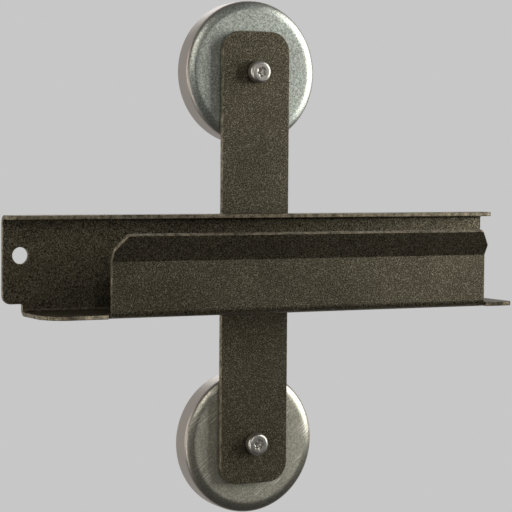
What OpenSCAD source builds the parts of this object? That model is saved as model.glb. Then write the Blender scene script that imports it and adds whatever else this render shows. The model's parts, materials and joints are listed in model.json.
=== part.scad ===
// Sliding barn door carrier: a flat strap holds a roller behind each of its ends,
// and a bent sheet channel across its middle holds the edge of the door panel.
// X runs along the rail, -Y is the front and +Z is up. The origin is the middle of the
// rail space: on the rollers' mid plane and midway between the two axles.

/* [Strap] */
// Width of the flat strap
strap_w = 40; // [36:1:50]
// Thickness of the strap
strap_t = 3; // [2.5:0.5:4]
// Length of the strap from end to end
strap_len = 243.6; // [236:0.2:260]
// Radius of the strap's corners
strap_corner_r = 11; // [4:1:16]
// Distance between the two axles
axle_spacing = 200; // [196:1:210]

/* [Channel] */
// Thickness of the coated sheet
sheet_t = 2.2; // [1.6:0.2:3]
// Inside radius of the sheet's bends
bend_r = 1.6; // [1:0.2:3]
// Length of the back plate and the top flange
channel_len = 288; // [270:2:320]
// Depth of the channel from the back plate's rear face to the front wall's front face
channel_depth = 36; // [32:1:48]
// Depth of the top flange
flange_depth = 15; // [12:1:20]
// Height of the top flange above the origin
channel_top = 24.5; // [23:0.5:32]
// Depth of the channel's underside below the origin
channel_bottom = 26.8; // [24:0.2:34]
// Left end of the front wall from the strap's middle
wall_left = 99; // [80:1:120]
// Right end of the front wall from the strap's middle
wall_right = 124; // [100:1:130]
// Height of the bend between the front wall and its lip
lip_bend_z = 1.8; // [0:0.2:6]
// Length of the lip from its bend to its edge
lip_len = 15.2; // [13:0.2:18]
// Lean of the lip away from upright, in degrees
lip_angle = 30; // [20:1:35]
// Width of the cut at each top corner of the lip
lip_cut_w = 6; // [2:1:10]
// Height of the same cut, measured along the lip
lip_cut_h = 9; // [4:1:11]
// Distance of the floor's left end from the strap's middle
floor_left = 133.5; // [125:0.5:140]
// Radius of the floor's front left corner
floor_left_r = 14; // [6:1:20]
// Radius of the floor's front right corner
floor_right_r = 5; // [3:1:10]
// Radius of the top flange's front corners
flange_corner_r = 4; // [2:1:8]
// Radius of the back plate's lower left corner
plate_corner_r = 4.5; // [2:0.5:5]
// Width of the relief slots beside the front wall's lower bend
relief_w = 1.5; // [1:0.5:3]
// Diameter of the two door screw holes
door_hole_d = 8.5; // [6:0.5:10]
// Distance of each door screw hole from the strap's middle
door_hole_x = 134.5; // [128:0.5:137]
// Height of the door screw holes above the origin
door_hole_z = 4; // [0:0.5:8]

/* [Rivets] */
// Diameter of the two rivets that join the channel to the strap
rivet_d = 6; // [5:0.5:6.5]
// Distance between the two rivets
rivet_spacing = 22; // [18:1:24]
// Height of the rivets above the origin
rivet_z = -1; // [-4:0.5:2]

/* [Rollers] */
// Diameter of the roller
roller_d = 77; // [70:1:80]
// Width of the roller
roller_w = 15; // [14:0.5:18]
// Gap between the strap and the roller
roller_gap = 1.5; // [1:0.1:2.5]
// Radius of the wide arc that rounds the roller's front
front_round_r = 12; // [8:0.5:14]
// Angle through which the wide arc turns
front_round_turn = 26; // [20:1:32]
// Radius of the roller's front edge
front_edge_r = 2.2; // [1:0.2:3]
// Radius of the roller's rear edge
rear_edge_r = 3; // [1:0.2:4]

/* [Bearings] */
// Bore of the ball bearing
bearing_bore_d = 10; // [9:0.5:10.5]
// Outside diameter of the ball bearing
bearing_d = 26; // [25.6:0.1:26.4]
// Width of the ball bearing
bearing_w = 8; // [7.6:0.2:8.4]
// Diameter of the balls
ball_d = 4.76; // [4.4:0.02:4.8]
// Number of balls
ball_count = 7; // [6:1:8]

/* [Axle screws] */
// Thread diameter of the axle screw
screw_d = 6; // [5:0.5:6]
// Length of the axle screw under its head
screw_len = 30; // [28:1:35]
// Diameter of the screw head
head_d = 12; // [11:0.5:13]
// Height of the screw head
head_h = 4.6; // [4:0.2:5]
// Width of the lock nut across its flats
nut_af = 10; // [9:0.5:11]

/* [Hidden] */
$fn = 96;

// A cut reaches this far past the surface that it goes through.
past = 1;

// Planes across the depth of the carrier, all as Y
roller_front = -roller_w / 2;
roller_rear = roller_w / 2;
strap_rear = roller_front - roller_gap;
front_edge_x = roller_d / 2 - front_edge_r;
front_round_x = front_edge_x - (front_round_r - front_edge_r) * sin(front_round_turn);
front_round_y = roller_front + front_round_r;
front_edge_y = front_round_y - (front_round_r - front_edge_r) * cos(front_round_turn);
strap_front = strap_rear - strap_t;
plate_front = strap_front - sheet_t;
wall_front = strap_front - channel_depth;
wall_rear = wall_front + sheet_t;
flange_front = strap_front - flange_depth;
bearing_front = -bearing_w / 2;
bearing_rear = bearing_w / 2;

// How far a relief slot reaches past the start of the wall's bend
relief_reach = 1;

// Heights in the channel, all as Z
floor_under = -channel_bottom;
floor_top = floor_under + sheet_t;
flange_under = channel_top - sheet_t;
plate_half = channel_len / 2;
plate_step_z = floor_top + bend_r + 2.4;

// Axle parts
screw_r = screw_d / 2;
screw_hole_r = screw_r + 0.3;
sleeve_r = bearing_bore_d / 2 - 0.02;
sleeve_bore_r = screw_r + 0.1;
sleeve_shoulder_r = 6.8;
spring_washer_t = 1.6;
spring_washer_r = 5.9;
spring_washer_slot = 1.2;
spring_washer_slant = 22;
washer_t = 1.6;
washer_r = 6.25;
nut_h = 6;
nut_flank_h = 4.4;
nut_collar_r = 4.6;
insert_r = 4.1;
insert_h = 1.7;
insert_depth = 0.3;
head_under = strap_front - spring_washer_t;
nut_front = bearing_rear + washer_t;
head_round_r = 1.8;
socket_d = 5.6;
socket_depth = 2.8;
socket_lobes = 6;
socket_bite_r = 1.2;
socket_inner_d = 4.05;

// Bearing parts
pitch_r = (bearing_bore_d + bearing_d) / 4;
ball_r = ball_d / 2;
ball_clearance = 0.08;
inner_land_r = 7.1;
outer_land_r = 10.9;
ring_edge_r = 0.3;
cage_half_t = 0.65;
cage_half_w = 2.9;
shield_t = 0.25;
shield_inset = 0.2;
shield_r = 7.4;

// Retaining ring and its groove in the roller
groove_r = 13.75;
groove_w = 1.3;
ring_t = 1.2;
ring_outer_r = 13.7;
ring_inner_r = 12;
ring_gap_angle = 26;
lug_r = 1.8;
lug_hole_r = 0.8;
roller_shoulder_r = 11;
mouth_cut = 0.8;

// Sunk heads at the two ends of each rivet
rivet_r = rivet_d / 2;
rivet_sink_r = 4.9;
rivet_front_sink_h = 1.4;
rivet_rear_sink_h = 1.8;

bronze = [0.22, 0.2, 0.16];
zinc = [0.68, 0.68, 0.66];
bright = [0.82, 0.82, 0.8];
ring_steel = [0.6, 0.61, 0.62];
ball_steel = [0.75, 0.76, 0.78];
cage_steel = [0.7, 0.62, 0.45];
spring_steel = [0.25, 0.25, 0.26];
nylon = [0.85, 0.88, 0.9];

// Extrudes a section drawn in Y and Z along X.
module along_x(x0, x1) {
    translate([x0, 0, 0])
        rotate([90, 0, 90])
            linear_extrude(x1 - x0)
                children();
}

// Extrudes an outline drawn in X and Z backwards from y0 to y1.
module along_y(y0, y1) {
    translate([0, y1, 0])
        rotate([90, 0, 0])
            linear_extrude(y1 - y0)
                children();
}

// Extrudes an outline drawn in X and Y upwards.
module along_z(z0, z1) {
    translate([0, 0, z0])
        linear_extrude(z1 - z0)
            children();
}

// Places what is drawn about the Z axis on an axle, with its +Z turned to the rear.
module at_axle(side) {
    translate([0, 0, side * axle_spacing / 2])
        rotate([-90, 0, 0])
            children();
}

module at_both_axles() {
    for (side = [1, -1])
        at_axle(side)
            children();
}

// A rectangle from one corner to the opposite one.
module rect(x0, y0, x1, y1) {
    translate([x0, y0])
        square([x1 - x0, y1 - y0]);
}

// The waste outside a rounded corner. Signs give the side on which the corner points.
module corner_waste(x, y, r, sign_x, sign_y) {
    translate([x - sign_x * r, y - sign_y * r])
        difference() {
            rect(min(0, sign_x * (r + past)), min(0, sign_y * (r + past)),
                 max(0, sign_x * (r + past)), max(0, sign_y * (r + past)));
            circle(r);
        }
}

// A square bend of the sheet about its inner centre. Signs point from the centre to the bend.
module bend_section(y, z, sign_y, sign_z) {
    outer = bend_r + sheet_t;
    translate([y, z])
        intersection() {
            difference() {
                circle(outer);
                circle(bend_r);
            }
            rect(min(0, sign_y * outer), min(0, sign_z * outer),
                 max(0, sign_y * outer), max(0, sign_z * outer));
        }
}

// A tube about Z drawn as one turned rectangle.
module tube(r0, r1, z0, z1) {
    rotate_extrude()
        rect(r0, z0, r1, z1);
}

module strap() {
    color(bronze)
        difference() {
            along_y(strap_front, strap_rear)
                difference() {
                    rect(-strap_w / 2, -strap_len / 2, strap_w / 2, strap_len / 2);
                    for (sx = [-1, 1], sz = [-1, 1])
                        corner_waste(sx * strap_w / 2, sz * strap_len / 2, strap_corner_r, sx, sz);
                }
            at_both_axles()
                translate([0, 0, strap_front - past])
                    cylinder(r = screw_hole_r, h = strap_t + 2 * past);
            at_rivets() {
                translate([0, 0, strap_front - past])
                    cylinder(r = rivet_r, h = strap_t + 2 * past);
                rivet_rear_head();
            }
        }
}

// The top flange, its bend and the back plate, drawn in Y and Z.
module plate_section() {
    rect(flange_front, flange_under, plate_front - bend_r, channel_top);
    bend_section(plate_front - bend_r, flange_under - bend_r, 1, 1);
    rect(plate_front, floor_top + bend_r, strap_front, flange_under - bend_r);
}

// The lower bend and the floor, drawn in Y and Z.
module floor_section() {
    bend_section(plate_front - bend_r, floor_top + bend_r, 1, -1);
    rect(wall_front, floor_under, plate_front - bend_r, floor_top);
}

// The floor's front bend, the front wall and the start of the lip, drawn in Y and Z.
module wall_section() {
    bend_section(wall_rear + bend_r, floor_top + bend_r, -1, -1);
    rect(wall_front, floor_top + bend_r, wall_rear, lip_bend_z);
}

module channel_plate() {
    difference() {
        along_x(-plate_half, plate_half)
            plate_section();
        for (side = [-1, 1])
            along_z(flange_under - bend_r - past, channel_top + past)
                corner_waste(side * plate_half, flange_front, flange_corner_r, side, -1);
        along_y(plate_front - past, strap_front + past) {
            rect(-plate_half - past, floor_top, -floor_left, plate_step_z);
            corner_waste(-plate_half, plate_step_z, plate_corner_r, -1, -1);
        }
    }
}

module channel_floor() {
    difference() {
        along_x(-floor_left, plate_half)
            floor_section();
        along_z(floor_under - past, floor_top + bend_r + past) {
            corner_waste(-floor_left, wall_front, floor_left_r, -1, -1);
            corner_waste(plate_half, wall_front, floor_right_r, 1, -1);
        }
        along_x(-wall_left, wall_right)
            rect(wall_front - past, floor_under - past, wall_rear + bend_r, floor_top + past);
        for (x = [-wall_left - relief_w, wall_right])
            along_x(x, x + relief_w)
                rect(wall_front - past, floor_under - past,
                     wall_rear + bend_r + relief_reach, floor_top + past);
    }
}

module channel_wall() {
    along_x(-wall_left, wall_right)
        wall_section();
    translate([0, wall_front, lip_bend_z])
        rotate([lip_angle, 0, 0])
            along_y(0, sheet_t)
                polygon([
                    [-wall_left, 0],
                    [wall_right, 0],
                    [wall_right, lip_len - lip_cut_h],
                    [wall_right - lip_cut_w, lip_len],
                    [-wall_left + lip_cut_w, lip_len],
                    [-wall_left, lip_len - lip_cut_h]
                ]);
    along_x(-wall_left, wall_right)
        translate([wall_front, lip_bend_z])
            intersection() {
                circle(sheet_t);
                polygon([
                    [0, 0],
                    [sheet_t * 2, 0],
                    [sheet_t * 2 * cos(lip_angle), sheet_t * 2 * sin(lip_angle)]
                ]);
            }
}

module channel() {
    color(bronze)
        difference() {
            union() {
                channel_plate();
                channel_floor();
                channel_wall();
            }
            for (side = [-1, 1])
                along_y(plate_front - past, strap_front + past)
                    translate([side * door_hole_x, door_hole_z])
                        circle(d = door_hole_d);
            at_rivets() {
                translate([0, 0, plate_front - past])
                    cylinder(r = rivet_r, h = sheet_t + 2 * past);
                rivet_front_head();
            }
        }
}

// Places what is drawn about the Z axis on each rivet, with its +Z turned to the rear.
module at_rivets() {
    for (side = [-1, 1])
        translate([side * rivet_spacing / 2, 0, rivet_z])
            rotate([-90, 0, 0])
                children();
}

module rivet_front_head() {
    translate([0, 0, plate_front])
        cylinder(r1 = rivet_sink_r, r2 = rivet_r, h = rivet_front_sink_h);
}

module rivet_rear_head() {
    translate([0, 0, strap_rear - rivet_rear_sink_h])
        cylinder(r1 = rivet_r, r2 = rivet_sink_r, h = rivet_rear_sink_h);
}

module channel_rivets() {
    color(bronze)
        at_rivets() {
            rivet_front_head();
            translate([0, 0, plate_front])
                cylinder(r = rivet_r, h = sheet_t + strap_t);
            rivet_rear_head();
        }
}

// A six-lobed driver socket outline.
module socket_outline() {
    difference() {
        circle(d = socket_d);
        for (i = [0 : socket_lobes - 1])
            rotate(i * 360 / socket_lobes)
                translate([socket_inner_d / 2 + socket_bite_r, 0])
                    circle(socket_bite_r);
    }
}

module screw() {
    crown = head_under - head_h;
    difference() {
        union() {
            rotate_extrude() {
                difference() {
                    rect(0, crown, head_d / 2, head_under);
                    corner_waste(head_d / 2, crown, head_round_r, 1, -1);
                }
            }
            translate([0, 0, head_under])
                cylinder(r = screw_r, h = screw_len - screw_r / 6);
            translate([0, 0, head_under + screw_len - screw_r / 6])
                cylinder(r1 = screw_r, r2 = screw_r * 5 / 6, h = screw_r / 6);
        }
        translate([0, 0, crown - past])
            linear_extrude(socket_depth + past)
                socket_outline();
    }
}

module axle_screws() {
    color(bright)
        at_both_axles()
            screw();
}

module axle_spring_washers() {
    color(spring_steel)
        at_both_axles()
            difference() {
                tube(screw_hole_r, spring_washer_r, head_under, strap_front);
                translate([0, -spring_washer_r / 2 - past, (head_under + strap_front) / 2])
                    rotate([0, spring_washer_slant, 0])
                        cube([spring_washer_slot, spring_washer_r + past, 3 * spring_washer_t],
                             center = true);
            }
}

module axle_washers() {
    color(zinc)
        at_both_axles()
            tube(screw_hole_r, washer_r, bearing_rear, nut_front);
}

module lock_nut() {
    hex_r = nut_af / 2 / cos(30);
    difference() {
        union() {
            intersection() {
                translate([0, 0, nut_front])
                    cylinder(r = hex_r, h = nut_flank_h, $fn = 6);
                translate([0, 0, nut_front])
                    cylinder(r1 = nut_af / 2, r2 = nut_af / 2 + nut_flank_h * 2, h = nut_flank_h);
            }
            tube(0, nut_collar_r, nut_front + nut_flank_h - past, nut_front + nut_h);
        }
        translate([0, 0, nut_front - past])
            cylinder(r = screw_r + 0.02, h = nut_h + 2 * past);
        translate([0, 0, nut_front + nut_h - insert_depth - insert_h])
            cylinder(r = insert_r, h = insert_h);
    }
}

module axle_lock_nuts() {
    color(zinc)
        at_both_axles()
            lock_nut();
}

module axle_nut_inserts() {
    insert_rear = nut_front + nut_h - insert_depth;
    color(nylon)
        at_both_axles()
            tube(screw_r + 0.01, insert_r - 0.01, insert_rear - insert_h, insert_rear);
}

// The waste outside the roller's rounded front, where a wide arc runs into the tighter front edge.
module roller_front_waste() {
    reach = 2 * front_round_r;
    difference() {
        rect(front_round_x, roller_front - past, roller_d / 2 + past, front_edge_y);
        translate([front_edge_x, front_edge_y])
            circle(front_edge_r);
        translate([front_round_x, front_round_y])
            intersection() {
                circle(front_round_r);
                polygon([
                    [0, 0],
                    [0, -reach],
                    [reach * sin(front_round_turn), -reach * cos(front_round_turn)]
                ]);
            }
    }
}

module roller() {
    color(zinc)
        rotate_extrude()
            difference() {
                rect(roller_shoulder_r, roller_front, roller_d / 2, roller_rear);
                roller_front_waste();
                corner_waste(roller_d / 2, roller_rear, rear_edge_r, 1, 1);
                rect(0, bearing_front, bearing_d / 2, roller_rear + past);
                rect(0, bearing_rear, groove_r, bearing_rear + groove_w);
                polygon([
                    [bearing_d / 2 - past, roller_rear - mouth_cut - past],
                    [bearing_d / 2 + mouth_cut + past, roller_rear + past],
                    [bearing_d / 2 - past, roller_rear + past]
                ]);
            }
}

module axle_sleeve() {
    color(zinc) {
        tube(sleeve_bore_r, sleeve_shoulder_r, strap_rear, bearing_front);
        tube(sleeve_bore_r, sleeve_r, bearing_front, bearing_rear - 0.1);
    }
}

// One bearing ring between two radii, with the ball groove cut from the pitch circle.
module bearing_ring(r0, r1) {
    color(ring_steel)
        rotate_extrude()
            difference() {
                rect(r0, bearing_front, r1, bearing_rear);
                translate([pitch_r, 0])
                    circle(ball_r + ball_clearance);
                for (z = [bearing_front, bearing_rear])
                    corner_waste(r1, z, ring_edge_r, 1, sign(z));
            }
}

module bearing_inner_ring() {
    bearing_ring(bearing_bore_d / 2, inner_land_r);
}

module bearing_outer_ring() {
    bearing_ring(outer_land_r, bearing_d / 2 - 0.01);
}

module at_balls() {
    for (i = [0 : ball_count - 1])
        rotate(i * 360 / ball_count)
            translate([pitch_r, 0, 0])
                children();
}

module bearing_balls() {
    color(ball_steel)
        at_balls()
            sphere(ball_r);
}

module bearing_cage() {
    color(cage_steel)
        difference() {
            tube(pitch_r - cage_half_t, pitch_r + cage_half_t, -cage_half_w, cage_half_w);
            at_balls()
                rotate([0, 90, 0])
                    cylinder(r = ball_r + ball_clearance, h = 4 * cage_half_t, center = true);
        }
}

// A shield set into the outer ring at the front (-1) or the rear (1) of the bearing.
module bearing_shield(side) {
    mid = side * (bearing_rear - shield_inset - shield_t / 2);
    color(bright)
        tube(shield_r, outer_land_r, mid - shield_t / 2, mid + shield_t / 2);
}

// A sprung ring open at the bottom, with a drilled lug at each side of its gap.
module retaining_ring() {
    lug_pitch_r = ring_outer_r - lug_r - 0.2;
    color(spring_steel)
        difference() {
            union() {
                difference() {
                    tube(ring_inner_r, ring_outer_r, bearing_rear, bearing_rear + ring_t);
                    along_z(bearing_rear - past, bearing_rear + ring_t + past)
                        polygon([
                            [0, 0],
                            2 * ring_outer_r * [sin(ring_gap_angle), cos(ring_gap_angle)],
                            2 * ring_outer_r * [-sin(ring_gap_angle), cos(ring_gap_angle)]
                        ]);
                }
                for (side = [-1, 1])
                    rotate(side * ring_gap_angle)
                        translate([0, lug_pitch_r, bearing_rear])
                            cylinder(r = lug_r, h = ring_t);
            }
            for (side = [-1, 1])
                rotate(side * ring_gap_angle)
                    translate([0, lug_pitch_r, bearing_rear - past])
                        cylinder(r = lug_hole_r, h = ring_t + 2 * past);
        }
}

module upper_roller() at_axle(1) roller();
module lower_roller() at_axle(-1) roller();
module upper_axle_sleeve() at_axle(1) axle_sleeve();
module lower_axle_sleeve() at_axle(-1) axle_sleeve();
module upper_bearing_inner_ring() at_axle(1) bearing_inner_ring();
module lower_bearing_inner_ring() at_axle(-1) bearing_inner_ring();
module upper_bearing_outer_ring() at_axle(1) bearing_outer_ring();
module lower_bearing_outer_ring() at_axle(-1) bearing_outer_ring();
module upper_bearing_balls() at_axle(1) bearing_balls();
module lower_bearing_balls() at_axle(-1) bearing_balls();
module upper_bearing_cage() at_axle(1) bearing_cage();
module lower_bearing_cage() at_axle(-1) bearing_cage();
module upper_bearing_front_shield() at_axle(1) bearing_shield(-1);
module lower_bearing_front_shield() at_axle(-1) bearing_shield(-1);
module upper_bearing_rear_shield() at_axle(1) bearing_shield(1);
module lower_bearing_rear_shield() at_axle(-1) bearing_shield(1);
module upper_retaining_ring() at_axle(1) retaining_ring();
module lower_retaining_ring() at_axle(-1) retaining_ring();

strap();
channel();
channel_rivets();
axle_screws();
axle_spring_washers();
axle_washers();
axle_lock_nuts();
axle_nut_inserts();
upper_roller();
lower_roller();
upper_axle_sleeve();
lower_axle_sleeve();
upper_bearing_inner_ring();
lower_bearing_inner_ring();
upper_bearing_outer_ring();
lower_bearing_outer_ring();
upper_bearing_balls();
lower_bearing_balls();
upper_bearing_cage();
lower_bearing_cage();
upper_bearing_front_shield();
lower_bearing_front_shield();
upper_bearing_rear_shield();
lower_bearing_rear_shield();
upper_retaining_ring();
lower_retaining_ring();
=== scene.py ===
"""Looks of a sliding barn door carrier: powder coated strap and door channel, zinc plated rollers on ball
bearings, and bright axle screws. X runs along the rail, -Y is the front and +Z is up, in metres."""

import json
import math

import bmesh
import bpy
from bpy.props import FloatProperty, FloatVectorProperty, IntProperty, PointerProperty
from mathutils import Matrix, Vector
from mathutils.geometry import delaunay_2d_cdt


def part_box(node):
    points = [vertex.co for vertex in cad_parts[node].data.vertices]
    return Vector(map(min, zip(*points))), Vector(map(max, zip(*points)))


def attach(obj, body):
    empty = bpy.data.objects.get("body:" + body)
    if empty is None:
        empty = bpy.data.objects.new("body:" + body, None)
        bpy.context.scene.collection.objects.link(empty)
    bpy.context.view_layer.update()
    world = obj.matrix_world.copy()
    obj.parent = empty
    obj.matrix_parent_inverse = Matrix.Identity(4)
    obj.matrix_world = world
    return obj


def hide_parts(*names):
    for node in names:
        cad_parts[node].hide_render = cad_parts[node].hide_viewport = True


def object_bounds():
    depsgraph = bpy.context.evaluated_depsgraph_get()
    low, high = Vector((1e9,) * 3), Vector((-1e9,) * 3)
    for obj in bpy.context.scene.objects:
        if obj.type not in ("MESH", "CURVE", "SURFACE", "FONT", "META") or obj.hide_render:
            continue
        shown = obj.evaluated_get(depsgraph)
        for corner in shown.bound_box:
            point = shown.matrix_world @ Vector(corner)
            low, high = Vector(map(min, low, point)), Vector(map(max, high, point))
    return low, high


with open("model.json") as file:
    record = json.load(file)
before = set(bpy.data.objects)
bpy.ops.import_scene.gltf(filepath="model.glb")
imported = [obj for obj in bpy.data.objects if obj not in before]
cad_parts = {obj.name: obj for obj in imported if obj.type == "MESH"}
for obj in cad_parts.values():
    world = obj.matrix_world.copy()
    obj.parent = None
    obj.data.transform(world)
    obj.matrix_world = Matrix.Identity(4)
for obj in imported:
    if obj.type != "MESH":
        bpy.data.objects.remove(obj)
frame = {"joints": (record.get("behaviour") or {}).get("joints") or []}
CAD_BOX = [list(corner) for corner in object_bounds()]

bl_info = {
    "name": "Barn Door Carrier",
    "version": (1, 0, 0),
    "blender": (4, 5, 0),
    "location": "View3D > Sidebar > Carrier",
    "description": "Builds the detailed pieces of a sliding barn door carrier",
    "category": "Add Mesh",
}


def radius_of(low, high):
    """Radius of a node that is round about the Y axis, from its box."""
    return (high.x - low.x) / 2


SIDES = ("upper", "lower")
HINGES = {joint["name"]: Vector(joint["pos_m"]) for joint in frame["joints"]}
AXLE = {side: HINGES[side + "_wheel_spin"] for side in SIDES}
STRAP_LOW, STRAP_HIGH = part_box("strap")
CHANNEL_LOW, CHANNEL_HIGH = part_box("channel")
ROLLER_LOW, ROLLER_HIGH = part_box("upper_roller")
ROLLER_R = radius_of(ROLLER_LOW, ROLLER_HIGH)
BEARING_LOW, BEARING_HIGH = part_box("upper_bearing_outer_ring")
BEARING_R = radius_of(BEARING_LOW, BEARING_HIGH)
SHIELD_LOW, SHIELD_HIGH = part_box("upper_bearing_rear_shield")
RING_LOW, RING_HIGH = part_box("upper_retaining_ring")
RING_R = radius_of(RING_LOW, RING_HIGH)
SLEEVE_LOW, SLEEVE_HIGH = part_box("upper_axle_sleeve")
SLEEVE_R = radius_of(SLEEVE_LOW, SLEEVE_HIGH)
SCREW_LOW, SCREW_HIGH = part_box("axle_screws")
SPRING_LOW, SPRING_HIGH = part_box("axle_spring_washers")
SPRING_R = radius_of(SPRING_LOW, SPRING_HIGH)
WASHER_LOW, WASHER_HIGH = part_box("axle_washers")
WASHER_R = radius_of(WASHER_LOW, WASHER_HIGH)
NUT_LOW, NUT_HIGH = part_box("axle_lock_nuts")
NUT_R = radius_of(NUT_LOW, NUT_HIGH)
INSERT_LOW, INSERT_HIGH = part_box("axle_nut_inserts")
INSERT_R = radius_of(INSERT_LOW, INSERT_HIGH)
RIVET_LOW, RIVET_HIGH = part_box("channel_rivets")
RIVET_HEAD = (RIVET_HIGH.z - RIVET_LOW.z) / 2
RIVET_Z = (RIVET_LOW.z + RIVET_HIGH.z) / 2
RIVET_X = radius_of(RIVET_LOW, RIVET_HIGH) - RIVET_HEAD
MM = 0.001
ON_AXIS = 1e-7
RIM_ATTRIBUTE = "cut_edge"
SMOOTH_TURN = math.radians(24)
SIX_SIDES = math.radians(60)


def length(name, description, default):
    return FloatProperty(name=name, description=description, default=default, min=0.0, subtype="DISTANCE",
                         unit="LENGTH", precision=5)


def angle(name, description, degrees):
    return FloatProperty(name=name, description=description, default=math.radians(degrees), subtype="ANGLE",
                         unit="ROTATION")


def colour(name, description, default):
    return FloatVectorProperty(name=name, description=description, default=default, size=3, min=0.0,
                               max=1.0, subtype="COLOR")


class SheetSizes(bpy.types.PropertyGroup):
    """Sizes of the strap and of the bent sheet channel"""

    strap_corner: length("Strap corner", "Radius of the strap's corners", 11 * MM)
    strap_edge: length("Strap edge", "Rounding along the strap's edges", 0.4 * MM)
    screw_hole: length("Screw hole", "Radius of the strap's axle screw holes", 3.3 * MM)
    sheet: length("Sheet", "Thickness of the coated sheet", 2.2 * MM)
    sheet_edge: length("Sheet edge", "Rounding along the sheet's cut edges", 0.4 * MM)
    bend: length("Bend", "Inside radius of the square bends", 1.6 * MM)
    flange: length("Top flange", "Depth of the top flange from the strap", 15 * MM)
    depth: length("Channel depth", "Depth of the channel from the strap to the wall's front", 36 * MM)
    wall_left: length("Wall left end", "Left end of the front wall from the strap's middle", 99 * MM)
    wall_right: length("Wall right end", "Right end of the front wall from the strap's middle", 124 * MM)
    lip_bend_z: length("Lip bend height", "Height of the bend below the lip", 1.8 * MM)
    lip: length("Lip", "Length of the lip from its bend to its edge", 15.2 * MM)
    lip_angle: angle("Lip angle", "Lean of the lip away from upright", 30)
    lip_bend: length("Lip bend", "Radius on the front of the lip's bend", 0.7 * MM)
    lip_cut_width: length("Lip cut width", "Width of the cut at the lip's corners", 6 * MM)
    lip_cut_height: length("Lip cut height", "Height of the cut at the lip's corners", 9 * MM)
    lip_right_round: length("Lip right rounding", "Rounding of the cut at the lip's right corner", 2 * MM)
    lip_left_round: length("Lip left rounding", "Rounding of the cut at the lip's left corner", 1.2 * MM)
    floor_left: length("Floor left end", "Left end of the floor from the strap's middle", 133.5 * MM)
    floor_left_corner: length("Floor left corner", "Radius of the floor's front left corner", 14 * MM)
    floor_right_corner: length("Floor right corner", "Radius of the floor's front right corner", 5 * MM)
    flange_corner: length("Flange corner", "Radius of the top flange's front corners", 4 * MM)
    plate_corner: length("Plate corner", "Radius of the back plate's lower left corner", 4.5 * MM)
    plate_step: length("Plate step", "Height of the plate's lower left edge above the bend", 2.4 * MM)
    step_round: length("Step rounding", "Radius inside the step between plate and floor", 0.8 * MM)
    relief: length("Relief slot", "Width of the slots beside the wall's lower bend", 1.5 * MM)
    relief_depth: length("Relief depth", "Reach of the same slots past the start of the bend", 1 * MM)
    door_hole: length("Door hole", "Radius of the door screw holes", 4.25 * MM)
    door_hole_x: length("Door hole place", "Distance of the door screw holes from the middle", 134.5 * MM)
    door_hole_z: length("Door hole height", "Height of the door screw holes", 4 * MM)


class RollerSizes(bpy.types.PropertyGroup):
    """Sizes of the rollers and their bearings"""

    front_round: length("Front rounding", "Radius of the wide arc that rounds the roller's front", 12 * MM)
    round_turn: angle("Rounding turn", "Angle through which the wide arc turns", 26)
    front_edge: length("Front edge", "Radius of the roller's front edge", 2.2 * MM)
    rear_edge: length("Rear edge", "Radius of the roller's rear edge", 3 * MM)
    boss: length("Rear boss", "Radius of the fine turned edge round the bearing", 16.5 * MM)
    boss_step: length("Boss step", "Depth of the same edge", 0.15 * MM)
    shoulder: length("Shoulder", "Bore of the roller's front shoulder", 11 * MM)
    groove: length("Groove", "Radius of the retaining ring's groove", 13.75 * MM)
    groove_width: length("Groove width", "Width of the retaining ring's groove", 1.3 * MM)
    mouth: length("Bore mouth", "Cut at the rear mouth of the bearing bore", 0.8 * MM)
    bore: length("Bearing bore", "Radius of the bearing's bore", 5 * MM)
    inner_land: length("Inner land", "Outside radius of the inner ring", 7.1 * MM)
    outer_land: length("Outer land", "Inside radius of the outer ring", 10.9 * MM)
    pitch: length("Ball circle", "Radius of the circle of balls", 9 * MM)
    ball: length("Ball", "Radius of a ball", 2.38 * MM)
    groove_play: length("Play", "Play between a ball and its groove", 0.08 * MM)
    shield_inner: length("Shield bore", "Radius of the shields' bore", 7.4 * MM)
    balls: IntProperty(name="Balls", description="Balls in a bearing", default=7, min=5, max=9)


class ScrewSizes(bpy.types.PropertyGroup):
    """Sizes of the axle screws, their washers and nuts, and the rivets"""

    shank: length("Shank", "Radius of the axle screw", 3 * MM)
    head: length("Head", "Radius of the screw head", 6 * MM)
    head_round: length("Head rounding", "Rounding of the screw head's front", 1.8 * MM)
    socket: length("Socket", "Radius of the six-lobed socket", 2.8 * MM)
    socket_waist: length("Socket waist", "Radius between the socket's lobes", 2.02 * MM)
    socket_bite: length("Socket bite", "Radius of the bumps between the socket's lobes", 1.2 * MM)
    socket_depth: length("Socket depth", "Depth of the socket", 2.8 * MM)
    thread_pitch: length("Thread pitch", "Pitch of the screw's thread", 1 * MM)
    thread_depth: length("Thread depth", "Depth of the screw's thread", 0.55 * MM)
    threaded: length("Threaded length", "Length of the thread at the screw's end", 13 * MM)
    nut_flats: length("Nut flats", "Half of the nut's width across its flats", 5 * MM)
    nut_flank: length("Nut flank", "Height of the nut's six-sided part", 4.4 * MM)
    nut_collar: length("Nut collar", "Radius of the collar round the nylon ring", 4.6 * MM)
    rivet: length("Rivet", "Radius of a rivet's shank", 3 * MM)
    rivet_front_sink: length("Rivet front", "Depth of a rivet's sunk front head", 1.4 * MM)
    rivet_rear_sink: length("Rivet rear", "Depth of a rivet's sunk rear head", 1.8 * MM)


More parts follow.
